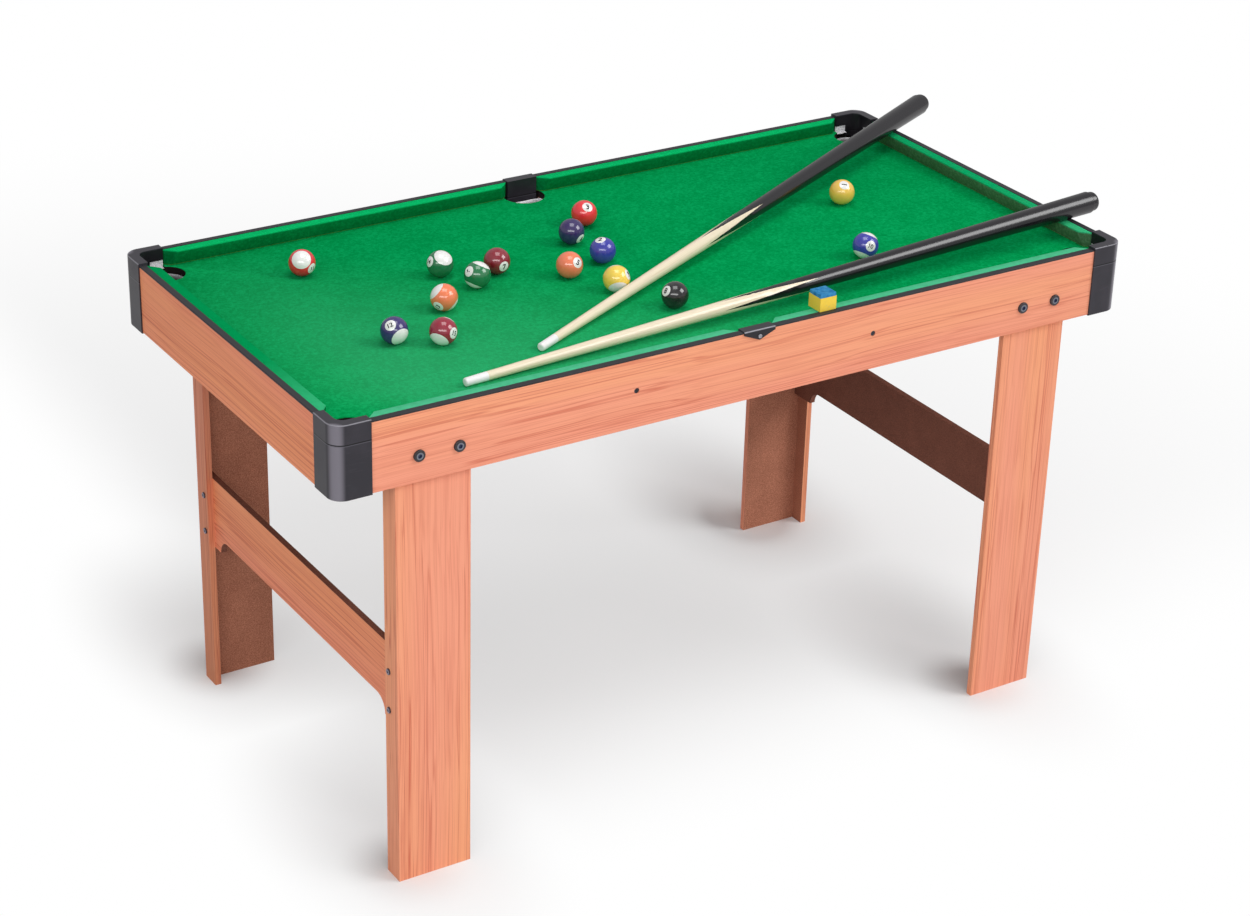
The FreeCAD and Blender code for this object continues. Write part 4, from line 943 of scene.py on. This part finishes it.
def make_numeral(name, words, centre, disc, turn):
    """Printed figures that follow the ball's surface, a hair above it."""
    bpy.ops.object.text_add(location=(0, 0, 0))
    figures = bpy.context.object
    figures.name = name
    figures.data.body = words
    figures.data.align_x = "CENTER"
    figures.data.align_y = "CENTER"
    figures.data.size = 0.0104 if len(words) == 1 else 0.0084
    figures.data.offset = 0.00034 if len(words) == 1 else 0.00022
    bpy.ops.object.convert(target="MESH")
    figures = bpy.context.object
    bpy.ops.object.mode_set(mode="EDIT")
    cut_finely(Vector(), 8)
    edit_done()
    side, lift, near = seen_frame(centre)
    angle = math.radians(turn)
    upright = lift * math.cos(angle) - side * math.sin(angle)
    upright = (upright - disc * upright.dot(disc)).normalized()
    across = upright.cross(disc)
    spread_x = [vertex.co.x for vertex in figures.data.vertices]
    spread_y = [vertex.co.y for vertex in figures.data.vertices]
    middle_x = (max(spread_x) + min(spread_x)) / 2
    middle_y = (max(spread_y) + min(spread_y)) / 2
    for vertex in figures.data.vertices:
        flat = across * (vertex.co.x - middle_x) + upright * (vertex.co.y - middle_y)
        vertex.co = centre + (disc * ball_radius + flat).normalized() * (ball_radius + print_height)
    figures.data.update()
    return figures


for number, (paint, disc_seen, caps_seen) in ball_looks.items():
    name = f"ball_{number:02d}"
    low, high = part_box(name)
    centre = (low + high) / 2
    across, rise, turn = disc_seen
    disc = seen_direction(centre, across, rise)
    caps = seen_direction(centre, *caps_seen) if caps_seen else None
    ball = make_ball(name + "_resin", centre)
    dress(ball, ball_glaze(name + " glaze", paint, centre, disc, caps))
    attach(ball, name)
    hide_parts(name)
    figures = make_numeral(name + "_number", str(number), centre, disc, turn)
    dress(figures, number_ink)
    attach(figures, name)
print("balls made:", len(ball_looks))

# %% [markdown]
# ## The cues
#
# Each cue is turned from maple, with a black stained butt, a white ferrule and a rubber bumper.
# Shaft and butt meet in a long splice: four black points run forward between four points of maple.
# The solids have the two large ones. The others thin out to slivers that no solid can show,
# so one finish serves both pieces and paints all eight points by the angle round the cue and
# the distance along it. The grain needs coordinates along the cue too, so one helper gives both.

# %% Directions along a cue
splice_turn = math.radians(44)


def cue_axis(name):
    """The end of the tip, the direction to the butt, and the wide and the narrow way of the splice."""
    tip_points = [vertex.co for vertex in nodes[name + "_tip"].data.vertices]
    butt_points = [vertex.co for vertex in nodes[name + "_butt"].data.vertices]
    start = sum(tip_points, Vector()) / len(tip_points)
    length = max((point - start).length for point in butt_points)
    last_points = [point for point in butt_points if (point - start).length > length - 0.008]
    end = sum(last_points, Vector()) / len(last_points)
    direction = (end - start).normalized()
    start = start + direction * min((point - start).dot(direction) for point in tip_points)
    left = Vector((0, 0, 1)).cross(direction).normalized()
    lift = direction.cross(left)
    wide = left * math.cos(splice_turn) + lift * math.sin(splice_turn)
    return start, direction, wide, direction.cross(wide)


def along_cue(place, name):
    """The distances along the cue and to both sides of its axis, as one vector and as numbers."""
    start, *directions = cue_axis(name)
    offset = vector_sum("SUBTRACT", place, start)
    parts = [vector_sum("DOT_PRODUCT", offset, direction) for direction in directions]
    line = add_node("ShaderNodeCombineXYZ", dict(enumerate(parts))).outputs[0]
    return line, parts


for name in ("cue_1", "cue_2"):
    start, direction, *across = cue_axis(name)
    print(name, "tip:", [round(c, 4) for c in start], "direction:", [round(c, 4) for c in direction])

# %% Cue finish
maple_film = rgb(246, 232, 206), rgb(244, 226, 196), rgb(222, 196, 160)
stain_film = rgb(25, 22, 28), rgb(25, 22, 28), rgb(13, 11, 15)
points_start = 0.382
points_end = 0.535
eighth = math.radians(45)
for name in ("cue_1", "cue_2"):
    material, shader, place = new_material(name + " wood", gloss=0.7)
    line, (along, across, aside) = along_cue(place, name)
    maple = wood(line, maple_film, 0.5, 1.6)
    stain = wood(line, stain_film, 0.5, 1.6)
    radius = sum_of("SQRT", sum_of("MULTIPLY_ADD", across, across, times(aside, aside)))
    turned = sum_of("ARCSINE", sum_of("DIVIDE", sum_of("ABSOLUTE", across), radius))
    reach = times(sum_of("SUBTRACT", along, points_start), eighth / (points_end - points_start))
    black = ramp(sum_of("SUBTRACT", reach, gap_to(turned, eighth)), 0.0, 0.03)
    feed(shader, "Base Color", mixed(black, maple["Color"], stain["Color"]))
    feed(shader, "Roughness", ramp(maple["Height"], -0.5, 0.6, 0.28, 0.22))
    bumped(shader, maple["Height"], 0.00002, 0.4)
    dress(nodes[name + "_shaft"], material)
    dress(nodes[name + "_butt"], material)
    dress(nodes[name + "_tip"], moulded(name + " ferrule", rgb(248, 245, 246), rgb(238, 233, 233), 0.3, 0.42))
print("cues dressed")

# %% [markdown]
# ## The chalk
#
# A pressed cube of blue chalk with a yellow paper band round its sides. Use has hollowed its top and
# rubbed its rim. It starts as a cube with beveled edges, which is then cut finely, and the points of
# its top are pushed down, most of all in the middle. The dust is in the material.

# %% Chalk block
low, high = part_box("chalk_block")
chalk_centre = (low + high) / 2
hollow_radius = 0.0092
hollow_depth = 0.0016

bpy.ops.mesh.primitive_cube_add(size=1.0, location=chalk_centre)
chalk = bpy.context.object
chalk.name = "chalk_worn_block"
chalk.scale = high - low
bpy.ops.object.transform_apply()
apply_modifier(chalk, "worn edges", "BEVEL", width=0.0009, segments=3)
bpy.ops.object.mode_set(mode="EDIT")
cut_finely(chalk_centre, 13)
edit_done()
for vertex in chalk.data.vertices:
    if vertex.co.z > high.z - 0.00005:
        reach = math.hypot(vertex.co.x - chalk_centre.x, vertex.co.y - chalk_centre.y)
        vertex.co.z -= hollow_depth * max(0.0, 1 - (reach / hollow_radius) ** 2) ** 1.2
chalk.data.update()
bpy.ops.object.shade_smooth_by_angle(angle=math.radians(30))
print("chalk faces:", len(chalk.data.polygons))

# %% Chalk finish
material, shader, place = new_material("blue chalk", 0.95, 0.1)
powder = noise(place, 700.0, 3.0, 0.7)
patches = ramp(noise(place, 130.0, 2.0), 0.3, 0.7)
blue = mixed(patches, rgb(36, 112, 168), rgb(66, 146, 196))
loose = ramp(powder, 0.55, 0.8, 0.0, 0.5)
from_middle = vector_sum("DISTANCE", place, (chalk_centre.x, chalk_centre.y, high.z))
dimple = ramp(from_middle, 0.0005, 0.005, 0.45, 0.0)
feed(shader, "Base Color", coated(blue, (loose, (120, 180, 216)), (dimple, (14, 60, 110))))
bumped(shader, powder, 0.0003, 0.7)
dress(chalk, material)
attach(chalk, "chalk")
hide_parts("chalk_block")

material, shader, place = new_material("chalk paper", 0.75)
weave = noise(place, 500.0, 3.0, 0.7)
dust = ramp(noise(place, 160.0, 3.0), 0.58, 0.8, 0.0, 0.35)
yellow = mixed(weave, rgb(248, 204, 52), rgb(254, 221, 86))
feed(shader, "Base Color", coated(yellow, (dust, (150, 170, 150))))
bumped(shader, weave, 0.00008, 0.5)
dress(nodes["chalk_label"], material)
print("chalk dressed")

# %% [markdown]
# ## The pocket bags
#
# A small bag of white knitted net hangs under each pocket and catches the ball. Each is an open tube
# that is drawn in towards a rounded bottom. It starts as a circle, is extruded downwards ring by ring,
# each ring wider or narrower than the last, and the rings are then pushed about a little so that
# the cloth sags unevenly. At the corners the doubled hem of the bag is folded up behind the low windows
# of the casting, where it shows as a white strip. A hem is a plane whose lower edge is extruded
# inwards, once for each side of the corner.

# %% Make one bag
bag_profile = {0.12: 1.0, 0.3: 1.01, 0.5: 1.0, 0.68: 0.96, 0.82: 0.87, 0.92: 0.72, 0.98: 0.48, 1.0: 0.2}


def make_bag(name, centre, radius, top, bottom, flat_side=None):
    """A hanging bag of cloth, open at the top and drawn in below, with its area before it gets thick."""
    rim = (centre.x, centre.y, top)
    bpy.ops.mesh.primitive_circle_add(vertices=48, radius=radius, fill_type="NOTHING", location=rim)
    bag = bpy.context.object
    bag.name = name
    edit_all()
    depth = top - bottom
    share_before, reach_before = 0.0, 1.0
    for share, reach in bag_profile.items():
        fall = -depth * (share - share_before)
        bpy.ops.mesh.extrude_edges_move(TRANSFORM_OT_translate={"value": (0, 0, fall)})
        change = reach / reach_before
        pivot = (centre.x, centre.y, top - depth * share)
        bpy.ops.transform.resize(value=(change, change, 1), center_override=pivot)
        share_before, reach_before = share, reach
    bpy.ops.mesh.edge_face_add()
    bpy.ops.mesh.select_all(action="SELECT")
    bpy.ops.mesh.normals_make_consistent(inside=False)
    edit_done()
    bpy.ops.object.transform_apply()
    for vertex in bag.data.vertices:
        turn = math.atan2(vertex.co.y - centre.y, vertex.co.x - centre.x)
        low_share = (top - vertex.co.z) / depth
        sway = 1 - 0.03 * low_share * (1 + math.sin(5 * turn + 13 * centre.x)) / 2
        sway -= 0.02 * low_share * (1 + math.sin(9 * turn + 30 * centre.y)) / 2
        vertex.co.x = centre.x + (vertex.co.x - centre.x) * sway
        vertex.co.y = centre.y + (vertex.co.y - centre.y) * sway
        if flat_side is not None:
            side = math.copysign(1, flat_side)
            vertex.co.y = side * min(side * vertex.co.y, side * flat_side)
    apply_modifier(bag, "soft cloth", "SUBSURF", levels=1, render_levels=1)
    area = sum(face.area for face in bag.data.polygons)
    apply_modifier(bag, "cloth thickness", "SOLIDIFY", thickness=0.0008, offset=0.0)
    bpy.ops.object.shade_smooth()
    return bag, area


# %% Make one hem
half_length = 0.6
half_width = 0.305
hem_length = 0.0183
hem_height = 0.0105
hem_foot = 0.0048
hem_from_face = 0.01015
hem_from_corner = 0.03965
hem_middle = 0.6482
hem_wave = 0.00035


def make_hem(name, x_turn, y_turn):
    """The bag's doubled edge, folded up behind both windows of a corner casting."""
    halves = []
    at_end = (hem_from_face, hem_from_corner, 90, (-x_turn * hem_foot, 0, 0))
    at_side = (hem_from_corner, hem_from_face, 0, (0, -y_turn * hem_foot, 0))
    for x_in, y_in, quarter, inwards in (at_end, at_side):
        middle = (x_turn * (half_length - x_in), y_turn * (half_width - y_in), hem_middle)
        turn = (math.radians(90), 0, math.radians(quarter))
        bpy.ops.mesh.primitive_plane_add(size=hem_length, location=middle, rotation=turn)
        half = bpy.context.object
        half.scale.y = hem_height / hem_length
        bpy.ops.object.transform_apply()
        edit_all()
        bpy.ops.mesh.select_mode(type="VERT")
        bpy.ops.mesh.subdivide(number_cuts=9)
        bpy.ops.mesh.select_all(action="DESELECT")
        edit_done()
        lowest = min(vertex.co.z for vertex in half.data.vertices)
        for vertex in half.data.vertices:
            vertex.select = vertex.co.z < lowest + 0.0001
        bpy.ops.object.mode_set(mode="EDIT")
        bpy.ops.mesh.extrude_edges_move(TRANSFORM_OT_translate={"value": inwards})
        edit_done()
        for vertex in half.data.vertices:
            vertex.co.z += hem_wave * math.sin(700 * (vertex.co.x + vertex.co.y))
        halves.append(half)
    bpy.ops.object.select_all(action="DESELECT")
    for half in halves:
        half.select_set(True)
    bpy.context.view_layer.objects.active = halves[0]
    bpy.ops.object.join()
    hem = bpy.context.object
    hem.name = name
    apply_modifier(hem, "doubled cloth", "SOLIDIFY", thickness=0.0012, offset=0.0)
    bpy.ops.object.shade_smooth_by_angle(angle=math.radians(40))
    return hem


print("bag and hem tools ready")

# %% Net finish
bag_shade_below = (0.627, 0.637)
bag_shade_from_x = 0.1
net, shader, place = new_material("knitted net", 0.9, 0.2)
knit = add_node("ShaderNodeTexVoronoi", {"Vector": place, "Scale": 420.0}, feature="DISTANCE_TO_EDGE")
hollow = ramp(knit.outputs["Distance"], 0.05, 0.2)
net_colour = mixed(hollow, rgb(250, 248, 251), rgb(214, 212, 218))
axes = axes_of(place)
# Painted shade: the corner bags are painted darker low down in the casting, and the side bags stay white.
bag_shade = ramp(axes["Z"], *bag_shade_below, 1.0, 0.0)
bag_shade = times(bag_shade, sum_of("GREATER_THAN", sum_of("ABSOLUTE", axes["X"]), bag_shade_from_x))
feed(shader, "Base Color", coated(net_colour, (bag_shade, (112, 101, 105))))
bumped(shader, hollow, -0.0004, 0.8)
print("net ready")

# %% Hang the six bags
bag_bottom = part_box("pocket_nets")[0].z + 0.0006
bag_top = 0.6352
corner_bag = 0.0262
side_bag = 0.0305
behind_panel = 0.2924
bags = []
for x_name, x_turn in (("left", -1), ("right", 1)):
    for y_name, y_turn in (("front", -1), ("back", 1)):
        centre = Vector((x_turn * corner_middle[0], y_turn * corner_middle[1], 0))
        hem = make_hem(f"pocket_hem_{y_name}_{x_name}", x_turn, y_turn)
        bags.append((f"pocket_bag_{y_name}_{x_name}", centre, corner_bag, None, hem))
for y_name, y_turn in (("front", -1), ("back", 1)):
    centre = Vector((0, y_turn * side_middle[1], 0))
    bags.append((f"pocket_bag_{y_name}", centre, side_bag, y_turn * behind_panel, None))

for name, centre, radius, flat_side, hem in bags:
    bag, area = make_bag(name, centre, radius, bag_top, bag_bottom, flat_side)
    for piece in (bag, hem):
        if piece:
            dress(piece, net)
            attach(piece, "table")
            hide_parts("pocket_nets")
